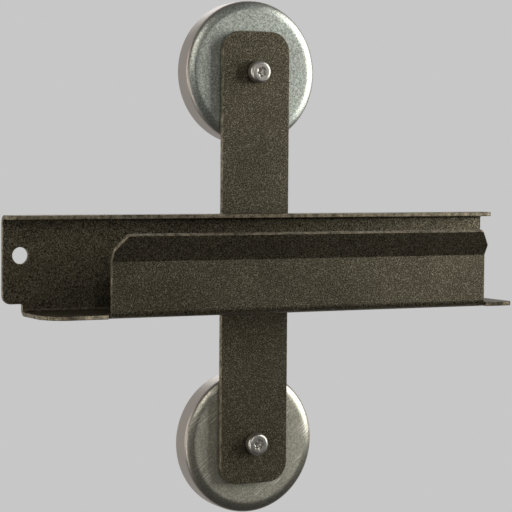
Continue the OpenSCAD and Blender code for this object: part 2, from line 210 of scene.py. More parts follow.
class FinishSettings(bpy.types.PropertyGroup):
    """Colours and textures of the finishes"""

    coat: colour("Coat", "Colour of the powder coat", (0.168, 0.15, 0.102))
    coat_dark: colour("Coat pits", "Colour in the pits of the powder coat", (0.025, 0.021, 0.014))
    coat_flake: colour("Coat flakes", "Colour of the bright flakes in the coat", (0.52, 0.49, 0.39))
    # Painted highlight: this pale edge colour is partly the coat worn thin and partly a painted glint along
    # the cut edges.
    coat_wear_and_edge_glint: colour("Coat wear", "Colour of the coat worn thin along cut edges", (0.46, 0.4, 0.3))
    coat_grain: length("Coat grain", "Size of the powder coat's texture", 0.6 * MM)
    upper_face: colour("Upper roller", "Colour of the upper roller's cool zinc plating", (0.59, 0.64, 0.61))
    upper_tread: colour("Upper tread", "Colour of the upper roller's worn tread", (0.52, 0.485, 0.455))
    lower_face: colour("Lower roller", "Colour of the lower roller's warm zinc plating", (0.63, 0.63, 0.55))
    lower_tread: colour("Lower tread", "Colour of the lower roller's worn tread", (0.52, 0.485, 0.45))
    scratch: colour("Scratches", "Colour of the rollers' bare scratches", (0.95, 0.94, 0.88))
    zinc: colour("Zinc", "Colour of the zinc plated small pieces", (0.62, 0.64, 0.6))
    bright: colour("Bright plating", "Colour of the screws", (0.8, 0.79, 0.76))
    steel: colour("Bearing steel", "Colour of the ground bearing steel", (0.56, 0.57, 0.58))
    ball: colour("Balls", "Colour of the polished balls", (0.72, 0.73, 0.75))
    cage: colour("Cage", "Colour of the pressed ball cage", (0.5, 0.48, 0.43))
    spring: colour("Spring steel", "Colour of the oiled spring steel", (0.16, 0.16, 0.165))
    nylon: colour("Nylon", "Colour of the nut's nylon ring", (0.72, 0.78, 0.82))


class StageSettings(bpy.types.PropertyGroup):
    """Camera, lights, surroundings and floor"""

    azimuth: angle("View azimuth", "Turn of the camera round the carrier, negative to the left", -27.5)
    elevation: angle("View elevation", "Height of the camera above level", 2.91)
    roll: angle("View roll", "Turn of the camera about its own axis", 0.42)
    distance: length("View distance", "Distance from the camera to the point it looks at", 1.0011)
    aim_x: length("Aim along the rail", "Place along the rail that the camera looks at", 0.4 * MM)
    aim_z: length("Aim height", "Height that the camera looks at", 1.38 * MM)
    lens: FloatProperty(name="Lens", description="Focal length of the camera", default=130.74, min=1.0,
                        unit="CAMERA")
    backdrop: colour("Backdrop", "Colour of the plain surroundings to the eye", (0.571, 0.571, 0.571))
    low_front: colour("Low front", "Light from the surroundings in front and below", (0.048, 0.045, 0.042))
    high_front: colour("High front", "Light from the surroundings in front and above", (0.1, 0.098, 0.09))
    rear_glow: colour("Rear glow", "Light from the surroundings behind", (0.46, 0.445, 0.43))
    floor_low: colour("Floor", "Colour of the pale floor", (0.8, 0.8, 0.8))
    floor_high: colour("Floor patches", "Colour of the floor's lighter patches", (0.84, 0.84, 0.84))
    floor_drop: length("Floor drop", "Distance from the carrier's underside down to the floor", 0.2)
    floor_radius: length("Floor radius", "Radius of the round floor", 0.62)


# ---------------------------------------------------------------------------------------------------------
# Outlines and meshes


def rounded_corner(before, here, after, radius, turn):
    """Points of the arc that rounds a corner of a path, with at most that turn between two of them."""
    come, go = (here - before).normalized(), (after - here).normalized()
    bend = math.atan2(come.x * go.y - come.y * go.x, come.dot(go))
    reach = radius * math.tan(abs(bend) / 2)
    side = Vector((-come.y, come.x)) * math.copysign(1, bend)
    centre = here - come * reach + side * radius
    steps = max(2, math.ceil(abs(bend) / turn))
    spokes = [Matrix.Rotation(bend * k / steps, 2) @ (-side) for k in range(steps + 1)]
    return [centre + spoke * radius for spoke in spokes]


def fillet_path(corners, closed=True, turn=math.radians(9)):
    """Segments ((point, normal), (point, normal)) along corners (x, y, radius), with true arcs at the
    radii. The normals point to the right of the path, and a far turn without a radius stays sharp."""
    count = len(corners)
    points = [Vector(corner[:2]) for corner in corners]
    chain = []
    for i, corner in enumerate(corners):
        radius = corner[2] if len(corner) > 2 else 0.0
        if radius <= 0 or (not closed and i in (0, count - 1)):
            chain.append(points[i])
        else:
            chain += rounded_corner(points[i - 1], points[i], points[(i + 1) % count], radius, turn)
    pairs = list(zip(chain, chain[1:] + chain[:1])) if closed else list(zip(chain, chain[1:]))
    pairs = [(a, b) for a, b in pairs if (b - a).length > 1e-8]
    flats = [Vector(((b - a).y, -(b - a).x)).normalized() for a, b in pairs]
    segments = []
    for i, (a, b) in enumerate(pairs):
        start, end = flats[i], flats[i]
        if (closed or i > 0) and flats[i - 1].angle(flats[i]) < SMOOTH_TURN:
            start = (flats[i - 1] + flats[i]).normalized()
        following = flats[(i + 1) % len(pairs)]
        if (closed or i < len(pairs) - 1) and following.angle(flats[i]) < SMOOTH_TURN:
            end = (following + flats[i]).normalized()
        segments.append(((a, start), (b, end)))
    return segments


def points_along(segments):
    """The points of an open path, from its first to its last."""
    return [segments[0][0][0]] + [end for _, (end, _) in segments]


def loop_of(corners, turn=math.radians(7)):
    """The points of a closed outline with rounded corners."""
    return [start for (start, _), _ in fillet_path(corners, True, turn)]


def circle_loop(x, y, radius, steps=64):
    """The points of a round hole."""
    turns = [math.tau * k / steps for k in range(steps)]
    return [Vector((x + radius * math.cos(turn), y + radius * math.sin(turn))) for turn in turns]


def area(points):
    """The area inside a loop, positive where the loop turns to the left."""
    return sum(a.x * b.y - b.x * a.y for a, b in zip(points, points[1:] + points[:1])) / 2


def encloses(loop, spot):
    """Whether a spot lies inside a loop."""
    inside = False
    for a, b in zip(loop, loop[1:] + loop[:1]):
        if (a.y > spot.y) != (b.y > spot.y) and spot.x < a.x + (b.x - a.x) * (spot.y - a.y) / (b.y - a.y):
            inside = not inside
    return inside


def new_object(name, data):
    """An object at the origin, linked to the scene."""
    made = bpy.data.objects.new(name, data)
    bpy.context.scene.collection.objects.link(made)
    return made


def mesh_object(name, vertices, faces, corner_normals=None, rims=None, smooth_below=None):
    """A mesh object shaded by its own corner normals or by an angle, with a mask of its rounded edges."""
    mesh = bpy.data.meshes.new(name)
    mesh.from_pydata([tuple(v) for v in vertices], [], faces)
    mesh.validate()
    mesh.shade_smooth()
    if rims is not None:
        layer = mesh.attributes.new(RIM_ATTRIBUTE, "FLOAT", "POINT")
        layer.data.foreach_set("value", rims)
    if corner_normals is not None:
        mesh.normals_split_custom_set([tuple(n) for n in corner_normals])
    if smooth_below is not None:
        mesh.set_sharp_from_angle(angle=smooth_below)
    return new_object(name, mesh)


def face_outward(piece, mesh, smooth_below):
    """Puts the edited mesh into the piece with its faces turned outward, shaded by an angle."""
    bmesh.ops.recalc_face_normals(mesh, faces=mesh.faces[:])
    mesh.to_mesh(piece.data)
    mesh.free()
    piece.data.shade_smooth()
    piece.data.set_sharp_from_angle(angle=smooth_below)


def revolve(name, corners, steps):
    """Turns an outline of (radius, y, rounding) corners about the Y axis, with exact normals."""
    if area([Vector(corner[:2]) for corner in corners]) < 0:
        corners = corners[::-1]
    vertices, rims, rings = [], [], {}

    def ring(point):
        """First vertex and count of the ring through a point, which is one vertex on the axis."""
        key = (round(point.x, 8), round(point.y, 8))
        if key not in rings:
            count = 1 if point.x < ON_AXIS else steps
            rings[key] = (len(vertices), count)
            for k in range(count):
                turn = math.tau * k / steps
                vertices.append((point.x * math.cos(turn), point.y, point.x * math.sin(turn)))
                rims.append(0.0)
        return rings[key]

    faces, normals = [], []
    for (a, normal_a), (b, normal_b) in fillet_path(corners):
        if a.x <= ON_AXIS and b.x <= ON_AXIS:
            continue
        first_a, count_a = ring(a)
        first_b, count_b = ring(b)
        if normal_a.angle(normal_b) > 1e-3:
            rims[first_a:first_a + count_a] = [1.0] * count_a
            rims[first_b:first_b + count_b] = [1.0] * count_b
        for k in range(steps):
            after = (k + 1) % steps
            turn, next_turn = math.tau * k / steps, math.tau * (k + 1) / steps
            face = [(first_a + k % count_a, normal_a, turn),
                    (first_b + k % count_b, normal_b, turn),
                    (first_b + after % count_b, normal_b, next_turn),
                    (first_a + after % count_a, normal_a, next_turn)]
            if count_a == 1:
                del face[3]
            elif count_b == 1:
                del face[2]
            faces.append([vertex for vertex, _, _ in face])
            normals += [(n.x * math.cos(t), n.y, n.x * math.sin(t)) for _, n, t in face]
    return mesh_object(name, vertices, faces, corner_normals=normals, rims=rims)


class Section:
    """The middle line of a bent sheet in Y and Z, from straight runs and bends. Headings turn from +Y to
    +Z, and a curve is the turn of the heading per metre."""

    def __init__(self, y, z, heading):
        self.parts = []
        self.end = (y, z, math.radians(heading))
        self.length = 0.0

    def run(self, distance, curve=0.0):
        """Adds a part, and gives the length of the sheet so far."""
        self.parts.append((self.length, distance, self.end, curve))
        self.end = self.walk(self.end, distance, curve)
        self.length += distance
        return self.length

    def bend(self, radius, degrees):
        """Adds a bend of that radius at the sheet's middle, and gives the length so far."""
        distance = radius * math.radians(abs(degrees))
        return self.run(distance, math.radians(degrees) / distance)

    @staticmethod
    def walk(start, distance, curve):
        """Place and heading at a distance from the start, along a line or an arc."""
        y, z, heading = start
        if abs(curve) < 1e-9:
            return y + distance * math.cos(heading), z + distance * math.sin(heading), heading
        turned = heading + curve * distance
        y += (math.sin(turned) - math.sin(heading)) / curve
        z -= (math.cos(turned) - math.cos(heading)) / curve
        return y, z, turned

    def at(self, v, last=None):
        """Place and outward normal at v along the sheet. Past part `last`, that part goes straight on."""
        chosen = self.parts[0]
        for number, part in enumerate(self.parts):
            if v >= part[0] - 1e-9 and (last is None or number <= last):
                chosen = part
        y, z, heading = self.walk(chosen[2], v - chosen[0], chosen[3])
        return Vector((0, y, z)), Vector((0, -math.sin(heading), math.cos(heading)))

    def rows(self, steps):
        """Places across the bends where the sheet's mesh is cut, with that many steps in a square bend."""
        found = []
        for start, distance, _, curve in self.parts:
            if abs(curve) > 1e-9:
                count = max(2, math.ceil(steps * abs(curve) * distance / (math.pi / 2)))
                found += [start + distance * k / count for k in range(count + 1)]
        return found


def flat_blank(loops, rows):
    """A flat mesh of triangles inside the first loop and outside the others, cut along the rows."""
    points, edges = [], []
    for loop in loops:
        first = len(points)
        points += loop
        edges += [(first + k, first + (k + 1) % len(loop)) for k in range(len(loop))]
    spots, _, triangles, *_ = delaunay_2d_cdt(points, edges, [], 0, 1e-9)
    blank = bmesh.new()
    corners = [blank.verts.new((spot.x, spot.y, 0)) for spot in spots]
    for triangle in triangles:
        centre = (spots[triangle[0]] + spots[triangle[1]] + spots[triangle[2]]) / 3
        if sum(encloses(loop, centre) for loop in loops) == 1:
            blank.faces.new([corners[k] for k in triangle])
    bmesh.ops.delete(blank, geom=[v for v in blank.verts if not v.link_faces], context="VERTS")
    for row in rows:
        bmesh.ops.bisect_plane(blank, geom=blank.verts[:] + blank.edges[:] + blank.faces[:], dist=1e-8,
                               plane_co=(0, row, 0), plane_no=(0, 1, 0))
    bmesh.ops.recalc_face_normals(blank, faces=blank.faces[:])
    if sum(face.normal.z * face.calc_area() for face in blank.faces) < 0:
        bmesh.ops.reverse_faces(blank, faces=blank.faces[:])
    blank.verts.index_update()
    return blank


def ways_inward(blank):
    """For each vertex on the blank's rim, the directions from its rim edges into the sheet."""
    inward = {}
    for line in blank.edges:
        if len(line.link_faces) != 1:
            continue
        middle = (line.verts[0].co + line.verts[1].co) / 2
        along = (line.verts[1].co - line.verts[0].co).normalized()
        across = Vector((-along.y, along.x))
        if (line.link_faces[0].calc_center_median() - middle).xy.dot(across) < 0:
            across = -across
        for vertex in line.verts:
            inward.setdefault(vertex.index, []).append(across)
    return inward


def sheet_piece(name, loops, thickness, edge, place, rows=()):
    """A flat blank with rounded cut edges, laid where place(u at the rim, u, v) says. The first loop is the
    outside, and the others are holes."""
    blank = flat_blank(loops, rows)
    inward = ways_inward(blank)
    steps = 3
    turns = [math.pi / 2 * k / steps for k in range(steps + 1)]
    levels = [(edge * (1 - math.sin(t)), thickness / 2 - edge * (1 - math.cos(t)), t) for t in turns]
    levels += [(inset, -height, math.pi - t) for inset, height, t in reversed(levels)]
    nudge = 0.01 * MM
    vertices, normals, rims, columns = [], [], [], {}
    for vertex in blank.verts:
        u, v = vertex.co.x, vertex.co.y
        spot, outward = place(u, u, v)
        first = len(vertices)
        if vertex.index in inward:
            one, other = (inward[vertex.index] * 2)[:2]
            miter = (one + other) / (1 + one.dot(other))
            side = (place(u, u - miter.x * nudge, v - miter.y * nudge)[0] - spot).normalized()
            for inset, height, tilt in levels:
                spot, outward = place(u, u + miter.x * inset, v + miter.y * inset)
                vertices.append(spot + outward * height)
                normals.append((outward * math.cos(tilt) + side * math.sin(tilt)).normalized())
                rims.append(1.0 if inset < edge * 0.6 else 0.0)
        else:
            for facing in (1, -1):
                vertices.append(spot + outward * (facing * thickness / 2))
                normals.append(outward * facing)
                rims.append(0.0)
        columns[vertex.index] = range(first, len(vertices))
    faces = []
    for face in blank.faces:
        ids = [vertex.index for vertex in face.verts]
        faces.append([columns[k][0] for k in ids])
        faces.append([columns[k][-1] for k in reversed(ids)])
    for line in blank.edges:
        if len(line.link_faces) == 1:
            loop = line.link_loops[0]
            a, b = columns[loop.vert.index], columns[loop.link_loop_next.vert.index]
            faces += [[b[k], a[k], a[k + 1], b[k + 1]] for k in range(len(levels) - 1)]
    blank.free()
    corner_normals = [normals[k] for face in faces for k in face]
    return mesh_object(name, vertices, faces, corner_normals=corner_normals, rims=rims)


def upright(y):
    """Lays a flat blank upright at that depth, facing the front."""
    def place(_rim_u, u, v):
        return Vector((u, y, v)), Vector((0, -1, 0))

    return place


def plain_ring(radius, y):
    """A round ring for ring_stack."""
    return lambda _turn: (radius, y)


def ring_stack(name, rings, steps, smooth_below):
    """Joins rings, which give (radius, y) at a turn about the Y axis. A number is a pole at that Y."""
    vertices, spans = [], []
    for ring in rings:
        if isinstance(ring, float):
            spans.append((len(vertices), 1))
            vertices.append((0, ring, 0))
            continue
        spans.append((len(vertices), steps))
        for k in range(steps):
            turn = math.tau * k / steps
            radius, y = ring(turn)
            vertices.append((radius * math.cos(turn), y, radius * math.sin(turn)))
    faces = []
    for (first_a, count_a), (first_b, count_b) in zip(spans, spans[1:]):
        for k in range(steps):
            after = (k + 1) % steps
            if count_a == 1:
                faces.append([first_a, first_b + k, first_b + after])
            elif count_b == 1:
                faces.append([first_a + k, first_b, first_a + after])
            else:
                faces.append([first_a + k, first_b + k, first_b + after, first_a + after])
    piece = mesh_object(name, vertices, faces)
    mesh = bmesh.new()
    mesh.from_mesh(piece.data)
    face_outward(piece, mesh, smooth_below)
    return piece


def settle(piece, body, slot, nodes, place=None, finish=None):
    """Puts a finished piece in the frame: its place, its material (the finish, or else the one named by the
    slot), its body, and hides the nodes that it is.
    """
    if place is not None:
        piece.location = place
    piece.data.materials.append(finish_of(finish or slot))
    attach(piece, body)
    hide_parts(*nodes)


# ---------------------------------------------------------------------------------------------------------
# Materials


def feed(tree, node, inputs):
    """Links or sets a node's inputs."""
    for key, value in inputs.items():
        if isinstance(value, bpy.types.NodeSocket):
            tree.links.new(value, node.inputs[key])
        else:
            node.inputs[key].default_value = value


def add(tree, kind, inputs=None, **settings):
    """Adds a node, with its own settings and its inputs."""
    node = tree.nodes.new(kind)
    for key, value in settings.items():
        setattr(node, key, value)
    feed(tree, node, inputs or {})
    return node


def maths(tree, operation, first, second, **settings):
    """The result of a sum or product of two values or sockets."""
    return add(tree, "ShaderNodeMath", {0: first, 1: second}, operation=operation, **settings).outputs[0]


def noise(tree, place, scale, detail=2.0, roughness=0.5):
    """Soft noise in space, about a half."""
    return add(tree, "ShaderNodeTexNoise", {"Vector": place, "Scale": scale, "Detail": detail,
                                            "Roughness": roughness}).outputs["Fac"]


def line_noise(tree, distance, scale, detail, roughness):
    """Noise that changes along one distance only."""
    return add(tree, "ShaderNodeTexNoise", {"W": distance, "Scale": scale, "Detail": detail,
                                            "Roughness": roughness}, noise_dimensions="1D").outputs["Fac"]


def ramp(tree, value, low, high, to_low=0.0, to_high=1.0):
    """Maps low to high onto to_low to to_high, and stops at both ends."""
    return add(tree, "ShaderNodeMapRange", {"Value": value, "From Min": low, "From Max": high,
                                            "To Min": to_low, "To Max": to_high}).outputs["Result"]


def between(tree, mask, at_none, at_full):
    """A value that goes from one to the other with a mask."""
    return ramp(tree, mask, 0.0, 1.0, at_none, at_full)


def rgba(tint):
    """A colour with full opacity."""
    return (tint[0], tint[1], tint[2], 1.0)


def darker(tint, share):
    """A share of a colour's brightness."""
    return [part * share for part in tint]


def mix(tree, share, first, second, blend="MIX"):
    """Mixes two colours, each a socket or three numbers. Input 0 is the share, 6 and 7 the colours."""
    tones = [tone if isinstance(tone, bpy.types.NodeSocket) else rgba(tone) for tone in (first, second)]
    return add(tree, "ShaderNodeMix", {0: share, 6: tones[0], 7: tones[1]}, data_type="RGBA",
               blend_type=blend).outputs[2]


def shaded(tree, tone, shade):
    """A colour made lighter or darker by a value."""
    grey = add(tree, "ShaderNodeCombineColor", {"Red": shade, "Green": shade, "Blue": shade}).outputs[0]
    return mix(tree, 1.0, tone, grey, "MULTIPLY")


def bump(tree, shader, height, strength, distance, before=None):
    """Gives the shader a bump, over the one before where there is one."""
    node = add(tree, "ShaderNodeBump", {"Height": height, "Strength": strength, "Distance": distance})
    if before is not None:
        feed(tree, node, {"Normal": before})
    feed(tree, shader, {"Normal": node.outputs["Normal"]})
    return node.outputs["Normal"]


def new_group(name, values, masks):
    """A shader node group with a Vector input, named values with their defaults, and named outputs."""
    tree = bpy.data.node_groups.new(name, "ShaderNodeTree")
    tree.interface.new_socket(name="Vector", in_out="INPUT", socket_type="NodeSocketVector")
    for label, default in values.items():
        socket = tree.interface.new_socket(name=label, in_out="INPUT", socket_type="NodeSocketFloat")
        socket.default_value = default
    for label in masks:
        tree.interface.new_socket(name=label, in_out="OUTPUT", socket_type="NodeSocketFloat")
    return tree, tree.nodes.new("NodeGroupInput").outputs, tree.nodes.new("NodeGroupOutput")


def use_group(tree, name, place, **values):
    """Places the named group in a material with its own values, and gives its outputs."""
    group = bpy.data.node_groups[name]
    return add(tree, "ShaderNodeGroup", {"Vector": place, **values}, node_tree=group).outputs


def build_grain_group():
    """Pimpled grain of a textured coat: a height, a mask of its pits and a mask of bright flakes."""
    tree, inside, outside = new_group("coat_grain", {"Scale": 1000.0}, ("Height", "Pits", "Flakes"))
    place, scale = inside["Vector"], inside["Scale"]
    pimples = noise(tree, place, scale, 1.0)
    cells = add(tree, "ShaderNodeTexVoronoi", {"Vector": place, "Scale": scale}).outputs
    chance = add(tree, "ShaderNodeSeparateColor", {"Color": cells["Color"]}).outputs["Red"]
    flake = ramp(tree, cells["Distance"], 0.6, 0.2)
    feed(tree, outside, {
        "Height": pimples,
        "Pits": ramp(tree, pimples, 0.56, 0.4),
        "Flakes": maths(tree, "MULTIPLY", ramp(tree, chance, 0.5, 1.0), flake),
    })


def build_wear_and_glint_group():
    """Wear along cut edges, broken up by noise. In the powder coat the same mask also places a painted
    highlight on the edges.
    """
    tree, inside, outside = new_group("edge_wear_and_glint", {"Scale": 400.0, "Amount": 0.5}, ("Mask",))
    rim = add(tree, "ShaderNodeAttribute", attribute_name=RIM_ATTRIBUTE).outputs["Fac"]
    patches = ramp(tree, noise(tree, inside["Vector"], inside["Scale"], 4.0, 0.7), 0.42, 0.66)
    worn = maths(tree, "MULTIPLY", patches, rim)
    feed(tree, outside, {"Mask": maths(tree, "MULTIPLY", worn, inside["Amount"], use_clamp=True)})


def build_handling_group():
    """Broad uneven patches and fine dust, as two values about a half."""
    tree, inside, outside = new_group("handling", {"Scale": 30.0}, ("Patches", "Dust"))
    finer = maths(tree, "MULTIPLY", inside["Scale"], 20.0)
    feed(tree, outside, {
        "Patches": noise(tree, inside["Vector"], inside["Scale"], 4.0, 0.55),
        "Dust": ramp(tree, noise(tree, inside["Vector"], finer), 0.35, 0.65),
    })


def build_turning_group():
    """Lathe rings about the Y axis: their height, a shade in wider bands, and the radius."""
    tree, inside, outside = new_group("turning", {"Rings": 900.0}, ("Height", "Bands", "Radius"))
    parts = add(tree, "ShaderNodeSeparateXYZ", {"Vector": inside["Vector"]}).outputs
    flat = add(tree, "ShaderNodeCombineXYZ", {"X": parts["X"], "Z": parts["Z"]}).outputs[0]
    radius = add(tree, "ShaderNodeVectorMath", {0: flat}, operation="LENGTH").outputs["Value"]
    along = maths(tree, "ADD", radius, parts["Y"])
    wider = maths(tree, "MULTIPLY", inside["Rings"], 0.22)
    feed(tree, outside, {
        "Height": line_noise(tree, along, inside["Rings"], 4.0, 0.7),
        "Bands": ramp(tree, line_noise(tree, along, wider, 2.0, 0.5), 0.35, 0.65),
        "Radius": radius,
    })


def build_scuffs_group():
    """Short fine scratches that lean one way, in patches, as a mask."""
    tree, inside, outside = new_group("scuffs", {"Lean": 0.6}, ("Mask",))
    leaned = add(tree, "ShaderNodeVectorRotate", {"Vector": inside["Vector"], "Angle": inside["Lean"]},
                 rotation_type="Y_AXIS").outputs[0]
    drawn = add(tree, "ShaderNodeVectorMath", {0: leaned, 1: (70.0, 70.0, 1500.0)},
                operation="MULTIPLY").outputs[0]
    lines = ramp(tree, noise(tree, drawn, 1.0), 0.56, 0.64)
    patches = ramp(tree, noise(tree, inside["Vector"], 75.0), 0.48, 0.6)
    feed(tree, outside, {"Mask": maths(tree, "MULTIPLY", lines, patches)})


def material_base(name):
    """A new material, its node tree, its Principled shader and the object's coordinates."""
    material = bpy.data.materials.new("detailed_" + name)
    material.use_nodes = True
    tree = material.node_tree
    place = add(tree, "ShaderNodeTexCoord").outputs["Object"]
    return material, tree, tree.nodes["Principled BSDF"], place


def powder_coat(name, finish):
    """Fine textured dark bronze coat, thin and pale brown along the cut edges, where the pale colour is
    also a painted highlight for the edges' glints.
    """
    material, tree, shader, place = material_base(name)
    grain = use_group(tree, "coat_grain", place, Scale=1 / finish.coat_grain)
    worn_and_glinting = use_group(tree, "edge_wear_and_glint", place, Scale=260.0, Amount=0.95)
    soil = use_group(tree, "handling", place, Scale=26.0)
    pitted = mix(tree, grain["Pits"], finish.coat, finish.coat_dark)
    flaked = mix(tree, grain["Flakes"], pitted, finish.coat_flake)
    toned = shaded(tree, flaked, ramp(tree, soil["Patches"], 0.3, 0.7, 0.86, 1.14))
    feed(tree, shader, {
        # Painted highlight: the pale edge colour is partly coat worn thin and partly a painted glint along
        # the rounded cut edges.
        "Base Color": mix(tree, worn_and_glinting["Mask"], toned, finish.coat_wear_and_edge_glint),
        "Roughness": between(tree, grain["Pits"], 0.42, 0.55),
        "Metallic": 0.78,
    })
    bump(tree, shader, grain["Height"], 0.6, 0.18 * MM)
    return material


def roller_zinc(name, finish, tint, tread_tint, rings, speckle, scratched):
    """Zinc plated turned steel: lathe rings, a speckled bloom and scratches, smoother on the rounded edge
    and worn on the tread."""
    material, tree, shader, place = material_base(name)
    lathe = use_group(tree, "turning", place, Rings=rings)
    soil = use_group(tree, "handling", place, Scale=70.0)
    scuffs = use_group(tree, "scuffs", place, Lean=0.65)
    bloom = ramp(tree, soil["Patches"], 0.32, 0.68)
    face = mix(tree, bloom, tint, darker(tint, 0.84))
    face = shaded(tree, face, between(tree, soil["Dust"], 1 - speckle, 1 + speckle))
    face = mix(tree, maths(tree, "MULTIPLY", scuffs["Mask"], scratched), face, finish.scratch)
    rounded = ramp(tree, lathe["Radius"], ROLLER_R - 6 * MM, ROLLER_R - 4.5 * MM)
    tread = ramp(tree, lathe["Radius"], ROLLER_R - 1.7 * MM, ROLLER_R - 0.5 * MM)
    rough = maths(tree, "ADD", between(tree, rounded, 0.6, 0.33), between(tree, tread, 0.0, 0.08))
    feed(tree, shader, {
        "Base Color": mix(tree, tread, face, tread_tint),
        "Roughness": rough,
        "Metallic": 1.0,
    })
    turned = bump(tree, shader, lathe["Height"], 0.2, 0.02 * MM)
    bump(tree, shader, soil["Dust"], 0.35 * speckle, 0.2 * MM, before=turned)
    return material


def plain_metal(name, tint, rough, depth=0.03 * MM):
    """Small metal pieces: a plated or ground surface with scuffs, patches and rubbed rims."""
    material, tree, shader, place = material_base(name)
    soil = use_group(tree, "handling", place, Scale=180.0)
    scuffs = use_group(tree, "scuffs", place, Lean=0.4)
    worn_and_glinting = use_group(tree, "edge_wear_and_glint", place, Scale=720.0, Amount=0.6)
    rubbed = [min(1.0, part * 1.2 + 0.03) for part in tint]
    tone = mix(tree, ramp(tree, soil["Patches"], 0.35, 0.7), tint, darker(tint, 0.78))
    feed(tree, shader, {
        "Base Color": mix(tree, worn_and_glinting["Mask"], tone, rubbed),
        "Roughness": maths(tree, "ADD", between(tree, scuffs["Mask"], 0.0, 0.1), rough),
        "Metallic": 1.0,
    })
    bump(tree, shader, soil["Dust"], 0.2, depth)
    return material


def ground_steel(name, finish):
    """Ground bearing steel with fine rings."""
    material, tree, shader, place = material_base(name)
    lathe = use_group(tree, "turning", place, Rings=3000.0)
    feed(tree, shader, {
        "Base Color": mix(tree, lathe["Bands"], finish.steel, darker(finish.steel, 0.82)),
        "Roughness": between(tree, lathe["Bands"], 0.16, 0.26),
        "Metallic": 1.0,
    })
    bump(tree, shader, lathe["Height"], 0.25, 0.02 * MM)
    return material


def nylon(name, finish):
    """Milky nylon with a faint mottle."""
    material, tree, shader, place = material_base(name)
    soil = use_group(tree, "handling", place, Scale=300.0)
    feed(tree, shader, {
        "Base Color": mix(tree, soil["Patches"], finish.nylon, darker(finish.nylon, 0.85)),
        "Roughness": between(tree, soil["Dust"], 0.4, 0.55),
        "Subsurface Weight": 0.2,
        "Subsurface Radius": (MM, MM, MM),
        "Subsurface Scale": 0.5,
    })
    bump(tree, shader, soil["Dust"], 0.1, 0.03 * MM)
    return material


MAKERS = {
    "powder_coat": powder_coat,
    "upper_roller_zinc": lambda name, finish: roller_zinc(
        name, finish, finish.upper_face, finish.upper_tread, rings=1200.0, speckle=0.36, scratched=0.2),
    "lower_roller_zinc": lambda name, finish: roller_zinc(
        name, finish, finish.lower_face, finish.lower_tread, rings=700.0, speckle=0.24, scratched=0.9),
    "bright_screw": lambda name, finish: plain_metal(name, finish.bright, 0.36),
    "zinc_plate": lambda name, finish: plain_metal(name, finish.zinc, 0.3),
    "spring_steel": lambda name, finish: plain_metal(name, finish.spring, 0.35),
    "shield_steel": lambda name, finish: plain_metal(name, finish.zinc, 0.25),
    "cage_steel": lambda name, finish: plain_metal(name, finish.cage, 0.3),
    "ball_steel": lambda name, finish: plain_metal(name, finish.ball, 0.06, depth=0.005 * MM),
    "bearing_steel": ground_steel,
    "nylon": nylon,
}


def finish_of(name):
    """The named material, made the first time that it is asked for."""
    made = bpy.data.materials.get("detailed_" + name)
    return made or MAKERS[name](name, bpy.context.scene.carrier_finish)


# ---------------------------------------------------------------------------------------------------------
# Pieces


class CARRIER_OT_finishes(bpy.types.Operator):
    """Build the shared shader groups"""

    bl_idname = "barn_carrier.finishes"
    bl_label = "Shared Finishes"

    def execute(self, context):
        for build in (build_grain_group, build_wear_and_glint_group, build_handling_group, build_turning_group,
                      build_scuffs_group):
            build()
        return {"FINISHED"}


class CARRIER_OT_strap(bpy.types.Operator):
    """Build the flat strap with its rounded ends, axle holes and rivet holes"""

    bl_idname = "barn_carrier.strap"
    bl_label = "Strap"

    def execute(self, context):
        sizes = context.scene.carrier_sheet
        corner = sizes.strap_corner
        outside = loop_of([(STRAP_LOW.x, STRAP_LOW.z, corner), (STRAP_HIGH.x, STRAP_LOW.z, corner),
                           (STRAP_HIGH.x, STRAP_HIGH.z, corner), (STRAP_LOW.x, STRAP_HIGH.z, corner)])
        holes = [circle_loop(0, AXLE[side].z, sizes.screw_hole) for side in SIDES]
        holes += [circle_loop(x, RIVET_Z, RIVET_HEAD) for x in (-RIVET_X, RIVET_X)]
        piece = sheet_piece("strap_bar", [outside] + holes, STRAP_HIGH.y - STRAP_LOW.y, sizes.strap_edge,
                            upright((STRAP_LOW.y + STRAP_HIGH.y) / 2))
        settle(piece, "carrier", "powder_coat", ["strap"])
        return {"FINISHED"}


